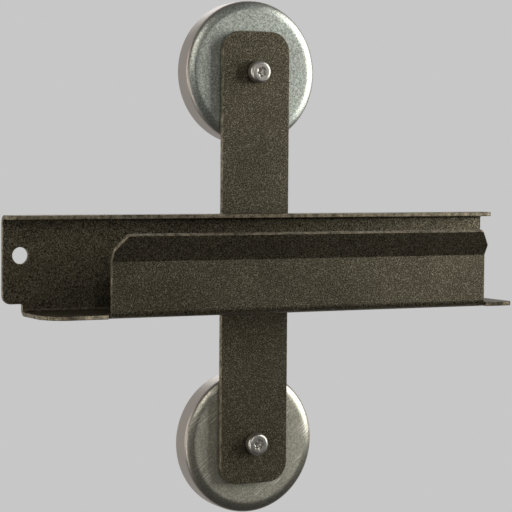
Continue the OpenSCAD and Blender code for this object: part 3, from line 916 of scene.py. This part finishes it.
class CARRIER_OT_channel(bpy.types.Operator):
    """Build the door channel: a flat blank with its cuts and holes, folded along its bends"""

    bl_idname = "barn_carrier.channel"
    bl_label = "Door Channel"

    def execute(self, context):
        sizes = context.scene.carrier_sheet
        rear, top, under = CHANNEL_HIGH.y, CHANNEL_HIGH.z, CHANNEL_LOW.z
        half = CHANNEL_HIGH.x
        middle_bend = sizes.bend + sizes.sheet / 2
        clear = sizes.sheet + sizes.bend
        section = Section(rear - sizes.flange, top - sizes.sheet / 2, 0)
        section.run(sizes.flange - clear)
        plate_start = section.bend(middle_bend, -90)
        section.run((top - clear) - (under + clear))
        floor_start = section.bend(middle_bend, -90)
        floor_part = len(section.parts)
        wall_bend = section.run(sizes.depth - 2 * clear)
        section.bend(middle_bend, -90)
        lip_reach = sizes.lip_bend * math.tan(sizes.lip_angle / 2)
        section.run(sizes.lip_bend_z - lip_reach - (under + clear))
        section.bend(sizes.lip_bend + sizes.sheet / 2, math.degrees(sizes.lip_angle))
        lip_end = section.run(sizes.lip - lip_reach)

        def plate_v(z):
            """Place along the sheet of a height on the back plate."""
            return plate_start + (top - clear) - z

        tab_end = floor_start + sizes.depth - clear
        step_v = plate_v(under + clear + sizes.plate_step)
        left, right = -sizes.wall_left, sizes.wall_right
        notch, slot_round = wall_bend - sizes.relief_depth, sizes.relief / 2.2
        cut_v = lip_end - sizes.lip_cut_height
        outside = loop_of([
            (-half, 0, sizes.flange_corner),
            (half, 0, sizes.flange_corner),
            (half, tab_end, sizes.floor_right_corner),
            (right + sizes.relief, tab_end, 0),
            (right + sizes.relief, notch, slot_round),
            (right, notch, slot_round),
            (right, cut_v, sizes.lip_right_round),
            (right - sizes.lip_cut_width, lip_end, sizes.lip_right_round),
            (left + sizes.lip_cut_width, lip_end, sizes.lip_left_round),
            (left, cut_v, sizes.lip_left_round),
            (left, notch, slot_round),
            (left - sizes.relief, notch, slot_round),
            (left - sizes.relief, tab_end, 0),
            (-sizes.floor_left, tab_end, sizes.floor_left_corner),
            (-sizes.floor_left, step_v, sizes.step_round),
            (-half, step_v, sizes.plate_corner),
        ])
        holes = [circle_loop(x, plate_v(sizes.door_hole_z), sizes.door_hole)
                 for x in (-sizes.door_hole_x, sizes.door_hole_x)]
        holes += [circle_loop(x, plate_v(RIVET_Z), RIVET_HEAD) for x in (-RIVET_X, RIVET_X)]

        def place(rim_u, u, v):
            beside_wall = rim_u < left - ON_AXIS or rim_u > right + ON_AXIS
            spot, outward = section.at(v, floor_part if beside_wall else None)
            return Vector((u, spot.y, spot.z)), outward

        piece = sheet_piece("door_channel", [outside] + holes, sizes.sheet, sizes.sheet_edge, place,
                            rows=section.rows(10))
        settle(piece, "carrier", "powder_coat", ["channel"])
        return {"FINISHED"}


class CARRIER_OT_rivets(bpy.types.Operator):
    """Build the two rivets that join the channel to the strap"""

    bl_idname = "barn_carrier.rivets"
    bl_label = "Rivets"

    def execute(self, context):
        sizes = context.scene.carrier_screws
        front, rear, edge = RIVET_LOW.y, RIVET_HIGH.y, 0.08 * MM
        outline = [(0, front), (RIVET_HEAD, front, edge), (sizes.rivet, front + sizes.rivet_front_sink),
                   (sizes.rivet, rear - sizes.rivet_rear_sink), (RIVET_HEAD, rear, edge), (0, rear)]
        for number, x in enumerate((-RIVET_X, RIVET_X)):
            piece = revolve("channel_rivet_%d" % (number + 1), outline, 64)
            settle(piece, "carrier", "powder_coat", ["channel_rivets"], (x, 0, RIVET_Z))
        return {"FINISHED"}


class CARRIER_OT_rollers(bpy.types.Operator):
    """Build the two turned rollers with their bearing seats and ring grooves"""

    bl_idname = "barn_carrier.rollers"
    bl_label = "Rollers"

    def execute(self, context):
        sizes = context.scene.carrier_roller
        front, rear = ROLLER_LOW.y, ROLLER_HIGH.y
        seat_front, seat_rear = BEARING_LOW.y, BEARING_HIGH.y
        wide, tight, turn = sizes.front_round, sizes.front_edge, sizes.round_turn
        round_x = ROLLER_R - tight - (wide - tight) * math.sin(turn)
        edge_y = front + wide - (wide - tight) * math.cos(turn)
        outline = [
            (sizes.shoulder, front, 0.5 * MM),
            (round_x + wide * math.tan(turn / 2), front, wide),
            (ROLLER_R, edge_y - tight * math.tan((math.pi / 2 - turn) / 2), tight),
            (ROLLER_R, rear, sizes.rear_edge),
            (sizes.boss, rear, 0.1 * MM),
            (sizes.boss, rear - sizes.boss_step, 0.1 * MM),
            (BEARING_R + sizes.mouth, rear - sizes.boss_step, 0.15 * MM),
            (BEARING_R, rear - sizes.mouth, 0.15 * MM),
            (BEARING_R, seat_rear + sizes.groove_width),
            (sizes.groove, seat_rear + sizes.groove_width, 0.1 * MM),
            (sizes.groove, seat_rear, 0.1 * MM),
            (BEARING_R, seat_rear),
            (BEARING_R, seat_front, 0.2 * MM),
            (sizes.shoulder, seat_front, 0.2 * MM),
        ]
        for side in SIDES:
            piece = revolve(side + "_roller_wheel", outline, 256)
            settle(piece, side + "_wheel", "roller_steel", [side + "_roller"], AXLE[side],
                   finish=side + "_roller_zinc")
        return {"FINISHED"}


def groove_arc(pitch, radius, land, outward):
    """Points of a ball groove cut into a ring's land, from its front to its rear."""
    half = math.acos(min(1.0, abs(land - pitch) / radius))
    shares = [k / 8 - 1 for k in range(17)]
    return [(pitch + outward * radius * math.cos(half * t), radius * math.sin(half * t)) for t in shares]


class CARRIER_OT_bearings(bpy.types.Operator):
    """Build the ball bearings: rings, balls, riveted cages and pressed shields"""

    bl_idname = "barn_carrier.bearings"
    bl_label = "Ball Bearings"

    def execute(self, context):
        sizes = context.scene.carrier_roller
        for side in SIDES:
            self.rings(sizes, side)
            self.balls(sizes, side)
            self.cage(sizes, side)
            self.shields(sizes, side)
        return {"FINISHED"}

    def rings(self, sizes, side):
        """The inner ring on the sleeve and the outer ring in the roller, each with its ball groove."""
        front, rear, chamfer = BEARING_LOW.y, BEARING_HIGH.y, 0.3 * MM
        race = sizes.ball + sizes.groove_play
        inner_land, outer_land = sizes.inner_land, sizes.outer_land
        inner = [(sizes.bore, front, chamfer), (inner_land, front, chamfer / 2)]
        inner += groove_arc(sizes.pitch, race, inner_land, -1)
        inner += [(inner_land, rear, chamfer / 2), (sizes.bore, rear, chamfer)]
        piece = revolve(side + "_inner_ring", inner, 96)
        settle(piece, "carrier", "bearing_steel", [side + "_bearing_inner_ring"], AXLE[side])
        outer = [(outer_land, front, chamfer / 2), (BEARING_R, front, chamfer), (BEARING_R, rear, chamfer),
                 (outer_land, rear, chamfer / 2)]
        outer += groove_arc(sizes.pitch, race, outer_land, 1)[::-1]
        piece = revolve(side + "_outer_ring", outer, 128)
        settle(piece, side + "_wheel", "bearing_steel", [side + "_bearing_outer_ring"], AXLE[side])

    def shift_to(self, sizes, turn):
        """The move from the bearing's middle to a place on the circle of balls."""
        return Matrix.Translation((sizes.pitch * math.cos(turn), 0, -sizes.pitch * math.sin(turn)))

    def balls(self, sizes, side):
        """The balls on their circle, each turned its own way."""
        mesh = bmesh.new()
        for k in range(sizes.balls):
            turn = math.tau * k / sizes.balls
            spin = Matrix.Rotation(1.1 * turn, 4, "X") @ Matrix.Rotation(0.7 * turn, 4, "Z")
            bmesh.ops.create_uvsphere(mesh, u_segments=48, v_segments=24, radius=sizes.ball,
                                      matrix=self.shift_to(sizes, turn) @ spin)
        data = bpy.data.meshes.new(side + "_balls")
        mesh.to_mesh(data)
        mesh.free()
        data.shade_smooth()
        piece = new_object(side + "_balls", data)
        settle(piece, side + "_ball_set", "ball_steel", [side + "_bearing_balls"], AXLE[side])

    def cage(self, sizes, side):
        """Two wavy pressed ribbons, one on each side of the balls, riveted between them."""
        steps, thick, flat_gap, reach = 280, 0.4 * MM, 0.05 * MM, 2.88 * MM
        pocket = sizes.ball + sizes.groove_play
        low, high = sizes.pitch - 0.62 * MM, sizes.pitch + 0.62 * MM
        spacing = math.tau / sizes.balls
        vertices, faces = [], []
        for facing in (-1, 1):
            first = len(vertices)
            for k in range(steps):
                turn = math.tau * k / steps
                away = abs((turn + spacing / 2) % spacing - spacing / 2) * sizes.pitch
                near = max(flat_gap, math.sqrt(max(0.0, pocket ** 2 - away ** 2)))
                for radius, y in ((low, near), (high, near), (high, near + thick), (low, near + thick)):
                    spot = (radius * math.cos(turn), facing * min(y, reach), -radius * math.sin(turn))
                    vertices.append(spot)
            for k in range(steps):
                here, after = first + 4 * k, first + 4 * ((k + 1) % steps)
                for a, b in ((0, 1), (1, 2), (2, 3), (3, 0)):
                    quad = [here + a, here + b, after + b, after + a]
                    faces.append(quad if facing > 0 else quad[::-1])
        piece = mesh_object(side + "_ball_cage", vertices, faces)
        self.rivet_cage(piece, sizes, thick)
        settle(piece, side + "_ball_set", "cage_steel", [side + "_bearing_cage"], AXLE[side])

    def rivet_cage(self, piece, sizes, thick):
        """Adds a low domed rivet head on each face of the cage between two balls."""
        mesh = bmesh.new()
        mesh.from_mesh(piece.data)
        low_dome = Matrix.Diagonal((1, 0.7, 1, 1))
        for k in range(sizes.balls):
            shift = self.shift_to(sizes, math.tau * (k + 0.5) / sizes.balls)
            for facing in (-1, 1):
                head = shift @ Matrix.Translation((0, facing * (thick + 0.1 * MM), 0)) @ low_dome
                bmesh.ops.create_icosphere(mesh, subdivisions=3, radius=0.38 * MM, matrix=head)
        face_outward(piece, mesh, math.radians(40))

    def shields(self, sizes, side):
        """A pressed shield with a stepped inner skirt, set in the outer ring."""
        out, back = SHIELD_HIGH.y, SHIELD_LOW.y
        inner, outer, skirt, slope = sizes.shield_inner, sizes.outer_land, 0.6 * MM, 0.1 * MM
        sunk = out - (out - back) / 3
        rim = outer - 0.01 * MM
        for name, facing in (("front", -1), ("rear", 1)):
            outline = [
                (inner, facing * back, 0.06 * MM),
                (inner, facing * out, 0.1 * MM),
                (inner + skirt, facing * out, 0.05 * MM),
                (inner + skirt + slope, facing * sunk, 0.05 * MM),
                (outer - skirt, facing * sunk, 0.05 * MM),
                (outer - skirt + slope, facing * out, 0.05 * MM),
                (rim, facing * out, 0.06 * MM),
                (rim, facing * back, 0.02 * MM),
            ]
            piece = revolve("%s_%s_shield" % (side, name), outline, 112)
            settle(piece, side + "_wheel", "shield_steel", ["%s_bearing_%s_shield" % (side, name)],
                   AXLE[side])


class CARRIER_OT_retaining_rings(bpy.types.Operator):
    """Build the sprung rings that keep the bearings in the rollers"""

    bl_idname = "barn_carrier.retaining_rings"
    bl_label = "Retaining Rings"

    def execute(self, context):
        inner, lug, hole, steps = 12 * MM, 1.8 * MM, 0.8 * MM, 96
        gap = math.radians(26)
        lug_circle = RING_R - lug - 0.2 * MM

        def round_at(radius, turn):
            """A point at a turn from straight down."""
            return Vector((radius * math.sin(turn), -radius * math.cos(turn)))

        sweep = math.tau - 2 * gap
        outside = [round_at(RING_R, gap + sweep * k / steps) for k in range(steps + 1)]
        outside += self.lug_curve(round_at(lug_circle, -gap), lug, -gap, 1)
        reach = math.asin(min(1.0, lug / inner)) * 0.96
        inner_sweep = math.tau - 2 * (gap + reach)
        outside += [round_at(inner, gap + reach + inner_sweep * (1 - k / steps)) for k in range(steps + 1)]
        outside += self.lug_curve(round_at(lug_circle, gap), lug, gap, -1)
        holes = [circle_loop(*round_at(lug_circle, turn), hole, steps=32) for turn in (-gap, gap)]
        thick, middle = RING_HIGH.y - RING_LOW.y, (RING_LOW.y + RING_HIGH.y) / 2
        for side in SIDES:
            piece = sheet_piece(side + "_snap_ring", [outside] + holes, thick, 0.12 * MM, upright(middle))
            settle(piece, side + "_wheel", "spring_steel", [side + "_retaining_ring"], AXLE[side])
        return {"FINISHED"}

    def lug_curve(self, centre, radius, turn, way):
        """The round inner end of a lug, walked so that the whole outline keeps one sense."""
        outward = math.atan2(-math.cos(turn), math.sin(turn))
        shares = [k / 16 if way > 0 else 1 - k / 16 for k in range(1, 16)]
        spokes = [outward + way * math.radians(20 + 235 * share) for share in shares]
        return [centre + Vector((math.cos(spoke), math.sin(spoke))) * radius for spoke in spokes]


class CARRIER_OT_screws(bpy.types.Operator):
    """Build the axle screws, with their six-lobed sockets and threads"""

    bl_idname = "barn_carrier.screws"
    bl_label = "Axle Screws"

    def execute(self, context):
        sizes = context.scene.carrier_screws
        for side, turn in (("upper", 0.2), ("lower", 0.75)):
            rings = self.socket(sizes) + self.body(sizes) + self.thread(sizes)
            piece = ring_stack(side + "_axle_screw", rings, 120, math.radians(36))
            piece.data.transform(Matrix.Rotation(turn, 4, "Y"))
            settle(piece, "carrier", "bright_screw", ["axle_screws"], AXLE[side])
        return {"FINISHED"}

    def socket(self, sizes):
        """Rings from the socket's middle up to the head's face."""
        crown = SCREW_LOW.y
        floor = crown + sizes.socket_depth
        span = sizes.socket_waist + sizes.socket_bite

        def lobes(turn):
            off = (turn + SIX_SIDES / 2) % SIX_SIDES - SIX_SIDES / 2
            reach = span * math.sin(off)
            if abs(reach) >= sizes.socket_bite:
                return sizes.socket
            near = span * math.cos(off) - math.sqrt(sizes.socket_bite ** 2 - reach ** 2)
            return min(sizes.socket, near)

        def lobed_ring(share, extra, y):
            return lambda turn: (lobes(turn) * share + extra, y)

        return [floor + 0.6 * MM, lobed_ring(0.55, 0.0, floor + 0.3 * MM), lobed_ring(0.97, 0.0, floor),
                lobed_ring(1.0, 0.0, floor - 0.1 * MM), lobed_ring(1.0, 0.0, crown + 0.25 * MM),
                lobed_ring(1.0, 0.07 * MM, crown + 0.08 * MM), lobed_ring(1.0, 0.22 * MM, crown)]

    def body(self, sizes):
        """Rings over the pan head and along the plain shank."""
        crown, under = SCREW_LOW.y, SPRING_LOW.y
        outline = [(3.2 * MM, crown), (sizes.head, crown, sizes.head_round), (sizes.head, under, 0.3 * MM),
                   (sizes.shank, under, 0.2 * MM), (sizes.shank, SCREW_HIGH.y - sizes.threaded)]
        path = fillet_path(outline, closed=False, turn=math.radians(6))
        return [plain_ring(point.x, point.y) for point in points_along(path)]

    def thread(self, sizes):
        """Rings of a true helical thread that fades in and out, and the screw's end."""
        pitch, rows, tip = sizes.thread_pitch, 12, SCREW_HIGH.y
        count = (sizes.threaded - 0.9 * MM) / pitch * rows

        def thread_ring(k):
            y = tip - sizes.threaded + 0.15 * MM + k * pitch / rows
            fade = min(1.0, k / rows) * min(1.0, (count - k) / (0.6 * rows))

            def ring(turn):
                phase = (y / pitch - turn / math.tau) % 1.0
                wave = min(1.0, max(0.0, 1.25 - 2.5 * abs(phase - 0.5)))
                return sizes.shank - 0.02 * MM - sizes.thread_depth * wave * fade, y

            return ring

        end = [plain_ring(sizes.shank * 0.78, tip - 0.1 * MM), plain_ring(sizes.shank * 0.74, tip), tip]
        return [thread_ring(k) for k in range(int(count) + 1)] + end


class CARRIER_OT_washers(bpy.types.Operator):
    """Build the split spring washers and the flat washers"""

    bl_idname = "barn_carrier.washers"
    bl_label = "Washers"

    def execute(self, context):
        hole, edge = context.scene.carrier_screws.shank + 0.3 * MM, 0.25 * MM
        washer = [(hole, WASHER_LOW.y, edge), (WASHER_R, WASHER_LOW.y, edge),
                  (WASHER_R, WASHER_HIGH.y, 0.5 * MM), (hole, WASHER_HIGH.y, edge)]
        for side in SIDES:
            self.spring_washer(side)
            piece = revolve(side + "_flat_washer", washer, 96)
            settle(piece, "carrier", "zinc_plate", ["axle_washers"], AXLE[side])
        return {"FINISHED"}

    def spring_washer(self, side):
        """A square wire ring with a slanted gap at its top."""
        inner, edge, steps = 3.3 * MM, 0.18 * MM, 140
        front, rear = SPRING_LOW.y, SPRING_HIGH.y
        gap, slant = math.radians(9), math.radians(11)
        cross = loop_of([(inner, front, edge), (SPRING_R, front, edge), (SPRING_R, rear, edge),
                         (inner, rear, edge)], math.radians(22))
        vertices, faces = [], []
        for k in range(steps + 1):
            for point in cross:
                lean = slant * ((point.y - front) / (rear - front) - 0.5)
                turn = math.pi / 2 + gap / 2 + (math.tau - gap) * k / steps + lean
                vertices.append((point.x * math.cos(turn), point.y, point.x * math.sin(turn)))
        count = len(cross)
        for k in range(steps):
            for j in range(count):
                a, b = k * count + j, k * count + (j + 1) % count
                faces.append([a, b, b + count, a + count])
        faces.append(list(range(count))[::-1])
        faces.append([steps * count + j for j in range(count)])
        piece = mesh_object(side + "_spring_washer", vertices, faces, smooth_below=math.radians(35))
        settle(piece, "carrier", "spring_steel", ["axle_spring_washers"], AXLE[side])


class CARRIER_OT_sleeves(bpy.types.Operator):
    """Build the shouldered sleeves between the strap and the bearings"""

    bl_idname = "barn_carrier.sleeves"
    bl_label = "Axle Sleeves"

    def execute(self, context):
        hole, edge = context.scene.carrier_screws.shank + 0.1 * MM, 0.25 * MM
        seat = context.scene.carrier_roller.bore - 0.02 * MM
        sleeve = [(hole, SLEEVE_LOW.y, edge), (SLEEVE_R, SLEEVE_LOW.y, edge),
                  (SLEEVE_R, BEARING_LOW.y, edge / 2), (seat, BEARING_LOW.y),
                  (seat, SLEEVE_HIGH.y, edge), (hole, SLEEVE_HIGH.y, edge / 2)]
        for side in SIDES:
            piece = revolve(side + "_sleeve", sleeve, 96)
            settle(piece, "carrier", "zinc_plate", [side + "_axle_sleeve"], AXLE[side])
        return {"FINISHED"}


class CARRIER_OT_nuts(bpy.types.Operator):
    """Build the lock nuts and their nylon rings"""

    bl_idname = "barn_carrier.nuts"
    bl_label = "Lock Nuts"

    def execute(self, context):
        sizes = context.scene.carrier_screws
        hole, edge = sizes.shank + 0.01 * MM, 0.25 * MM
        insert = [(hole, INSERT_LOW.y), (INSERT_R, INSERT_LOW.y), (INSERT_R, INSERT_HIGH.y, edge),
                  (hole, INSERT_HIGH.y, 2 * edge)]
        for side in SIDES:
            piece = ring_stack(side + "_lock_nut", self.nut(sizes), 120, math.radians(30))
            settle(piece, "carrier", "zinc_plate", ["axle_lock_nuts"], AXLE[side])
            piece = revolve(side + "_nylon_ring", insert, 96)
            settle(piece, "carrier", "nylon", ["axle_nut_inserts"], AXLE[side])
        return {"FINISHED"}

    def nut(self, sizes):
        """Rings of a six-sided nut with chamfered corners and a rolled collar."""
        front, rear, flats = NUT_LOW.y, NUT_HIGH.y, sizes.nut_flats
        flank = front + sizes.nut_flank
        bore, mouth, pocket = sizes.shank + 0.02 * MM, 3.6 * MM, INSERT_R + 0.01 * MM

        def hexagon(turn):
            return flats / math.cos((turn + SIX_SIDES / 2) % SIX_SIDES - SIX_SIDES / 2)

        def chamfer(turn):
            return max(0.0, hexagon(turn) - (flats - 0.15 * MM)) * math.tan(math.radians(30))

        collar = fillet_path([(sizes.nut_collar, flank), (sizes.nut_collar, rear, 0.6 * MM),
                              (mouth, rear - 0.1 * MM)], closed=False)
        rings = [plain_ring(bore, rear - 2 * MM), plain_ring(bore, front + 0.3 * MM),
                 plain_ring(bore + 0.35 * MM, front), plain_ring(flats - 0.2 * MM, front),
                 lambda turn: (min(hexagon(turn), NUT_R), front + chamfer(turn)),
                 lambda turn: (min(hexagon(turn), NUT_R), flank - 0.2 * MM - chamfer(turn)),
                 plain_ring(flats - 0.35 * MM, flank)]
        rings += [plain_ring(point.x, point.y) for point in points_along(collar)]
        return rings + [plain_ring(mouth, INSERT_HIGH.y), plain_ring(pocket, INSERT_HIGH.y),
                        plain_ring(pocket, INSERT_LOW.y), plain_ring(bore, INSERT_LOW.y)]


# ---------------------------------------------------------------------------------------------------------
# Stage


def look_matrix(place, target, roll):
    """A camera or light at place that looks at target, turned by roll about its own axis."""
    back = (place - target).normalized()
    right = Vector((0, 0, 1)).cross(back).normalized()
    up = back.cross(right)
    turned_right = right * math.cos(roll) + up * math.sin(roll)
    turned_up = up * math.cos(roll) - right * math.sin(roll)
    turned = Matrix((turned_right, turned_up, back)).transposed().to_4x4()
    return Matrix.Translation(place) @ turned


def from_angles(azimuth, elevation):
    """The direction from the object to a place at that azimuth (0 in front, positive right) and height."""
    return Vector((math.sin(azimuth) * math.cos(elevation), -math.cos(azimuth) * math.cos(elevation),
                   math.sin(elevation)))


LAMPS = {
    "key_light": (61, 14, 1.0, 0.5, 0.8, 5.4, (1.0, 0.97, 0.9)),
    "left_light": (-94, 8, 1.2, 0.4, 0.9, 2.6, (1.0, 0.94, 0.85)),
    "low_fill": (-52, -14, 1.2, 0.7, 0.6, 2.2, (1.0, 0.95, 0.88)),
    "glint_light": (-14, 22, 1.2, 0.08, 0.5, 1.1, (1.0, 0.94, 0.84)),
    "rear_light": (160, 30, 1.5, 0.8, 0.8, 3, (1.0, 1.0, 1.0)),
}


class CARRIER_OT_stage(bpy.types.Operator):
    """Set up the camera, the soft lights, the plain surroundings and the pale floor"""

    bl_idname = "barn_carrier.stage"
    bl_label = "Stage"

    def execute(self, context):
        context.scene.view_settings.view_transform = "Standard"
        stage = context.scene.carrier_stage
        self.camera(context, stage)
        self.lights()
        self.surroundings(context, stage)
        self.floor(stage)
        return {"FINISHED"}

    def camera(self, context, stage):
        """A long lens that looks at the strap from its left."""
        data = bpy.data.cameras.new("view_camera")
        data.lens, data.sensor_width = stage.lens, 36.0
        data.clip_start, data.clip_end = 0.05, 50.0
        camera = new_object("view_camera", data)
        target = Vector((stage.aim_x, STRAP_LOW.y, stage.aim_z))
        place = target + from_angles(stage.azimuth, stage.elevation) * stage.distance
        camera.matrix_world = look_matrix(place, target, stage.roll)
        context.scene.camera = camera

    def lights(self):
        """Soft lights, each with its azimuth, elevation, distance, width, height, power and colour."""
        for name, (azimuth, elevation, distance, wide, tall, power, tint) in LAMPS.items():
            data = bpy.data.lights.new(name, "AREA")
            data.shape, data.size, data.size_y = "RECTANGLE", wide, tall
            data.energy, data.color = power, tint
            lamp = new_object(name, data)
            place = from_angles(math.radians(azimuth), math.radians(elevation)) * distance
            lamp.matrix_world = look_matrix(place, Vector((0, 0, 0)), 0.0)
            lamp.visible_camera = False

    def surroundings(self, context, stage):
        """Plain to the eye. As light and in reflections they are dim in front and bright behind."""
        world = bpy.data.worlds.new("soft_studio")
        context.scene.world = world
        world.use_nodes = True
        tree = world.node_tree
        tree.nodes.clear()
        way = add(tree, "ShaderNodeTexCoord").outputs["Generated"]
        parts = add(tree, "ShaderNodeSeparateXYZ", {"Vector": way}).outputs
        front = mix(tree, ramp(tree, parts["Z"], -0.6, 0.1), stage.low_front, stage.high_front)
        tone = mix(tree, ramp(tree, parts["Y"], -0.1, 0.5), front, stage.rear_glow)
        lit, seen = (add(tree, "ShaderNodeBackground", {"Color": shown, "Strength": 1.0}).outputs[0]
                     for shown in (tone, rgba(stage.backdrop)))
        to_camera = add(tree, "ShaderNodeLightPath").outputs["Is Camera Ray"]
        both = add(tree, "ShaderNodeMixShader", {0: to_camera, 1: lit, 2: seen}).outputs[0]
        add(tree, "ShaderNodeOutputWorld", {"Surface": both})

    def floor(self, stage):
        """A round pale floor that fades into the surroundings at its rim."""
        radius = stage.floor_radius
        mesh = bmesh.new()
        bmesh.ops.create_circle(mesh, cap_ends=True, segments=96, radius=radius)
        data = bpy.data.meshes.new("pale_floor")
        mesh.to_mesh(data)
        mesh.free()
        floor = new_object("pale_floor", data)
        floor.location = (0, 0, CAD_BOX[0][2] - stage.floor_drop)
        material, tree, shader, place = material_base("pale_floor")
        away = add(tree, "ShaderNodeVectorMath", {0: place}, operation="LENGTH").outputs["Value"]
        dust = use_group(tree, "handling", place, Scale=8.0)
        feed(tree, shader, {
            "Base Color": mix(tree, dust["Patches"], stage.floor_low, stage.floor_high),
            "Roughness": 0.8,
            "Alpha": ramp(tree, away, radius * 0.55, radius, 1.0, 0.0),
        })
        data.materials.append(material)
        floor.visible_glossy = False
        floor.visible_diffuse = False


class CARRIER_PT_panel(bpy.types.Panel):
    """Sizes, finishes and builders of the carrier"""

    bl_label = "Barn Door Carrier"
    bl_idname = "CARRIER_PT_panel"
    bl_space_type = "VIEW_3D"
    bl_region_type = "UI"
    bl_category = "Carrier"

    def draw(self, context):
        for name, title, _ in SETTINGS:
            box = self.layout.box()
            box.label(text=title)
            settings = getattr(context.scene, name)
            for key in settings.__annotations__:
                box.prop(settings, key)
        for operator in OPERATORS:
            self.layout.operator(operator.bl_idname)


SETTINGS = (
    ("carrier_sheet", "Strap and channel", SheetSizes),
    ("carrier_roller", "Rollers and bearings", RollerSizes),
    ("carrier_screws", "Screws and rivets", ScrewSizes),
    ("carrier_finish", "Finishes", FinishSettings),
    ("carrier_stage", "Stage", StageSettings),
)
OPERATORS = (
    CARRIER_OT_finishes,
    CARRIER_OT_strap,
    CARRIER_OT_channel,
    CARRIER_OT_rivets,
    CARRIER_OT_rollers,
    CARRIER_OT_bearings,
    CARRIER_OT_retaining_rings,
    CARRIER_OT_screws,
    CARRIER_OT_washers,
    CARRIER_OT_sleeves,
    CARRIER_OT_nuts,
    CARRIER_OT_stage,
)


def register():
    for name, _, group in SETTINGS:
        bpy.utils.register_class(group)
        setattr(bpy.types.Scene, name, PointerProperty(type=group))
    for operator in OPERATORS:
        bpy.utils.register_class(operator)
    bpy.utils.register_class(CARRIER_PT_panel)


def unregister():
    bpy.utils.unregister_class(CARRIER_PT_panel)
    for operator in reversed(OPERATORS):
        bpy.utils.unregister_class(operator)
    for name, _, group in reversed(SETTINGS):
        delattr(bpy.types.Scene, name)
        bpy.utils.unregister_class(group)


def main():
    register()
    for operator in OPERATORS:
        family, action = operator.bl_idname.split(".")
        getattr(getattr(bpy.ops, family), action)()


if __name__ == "__main__":
    main()
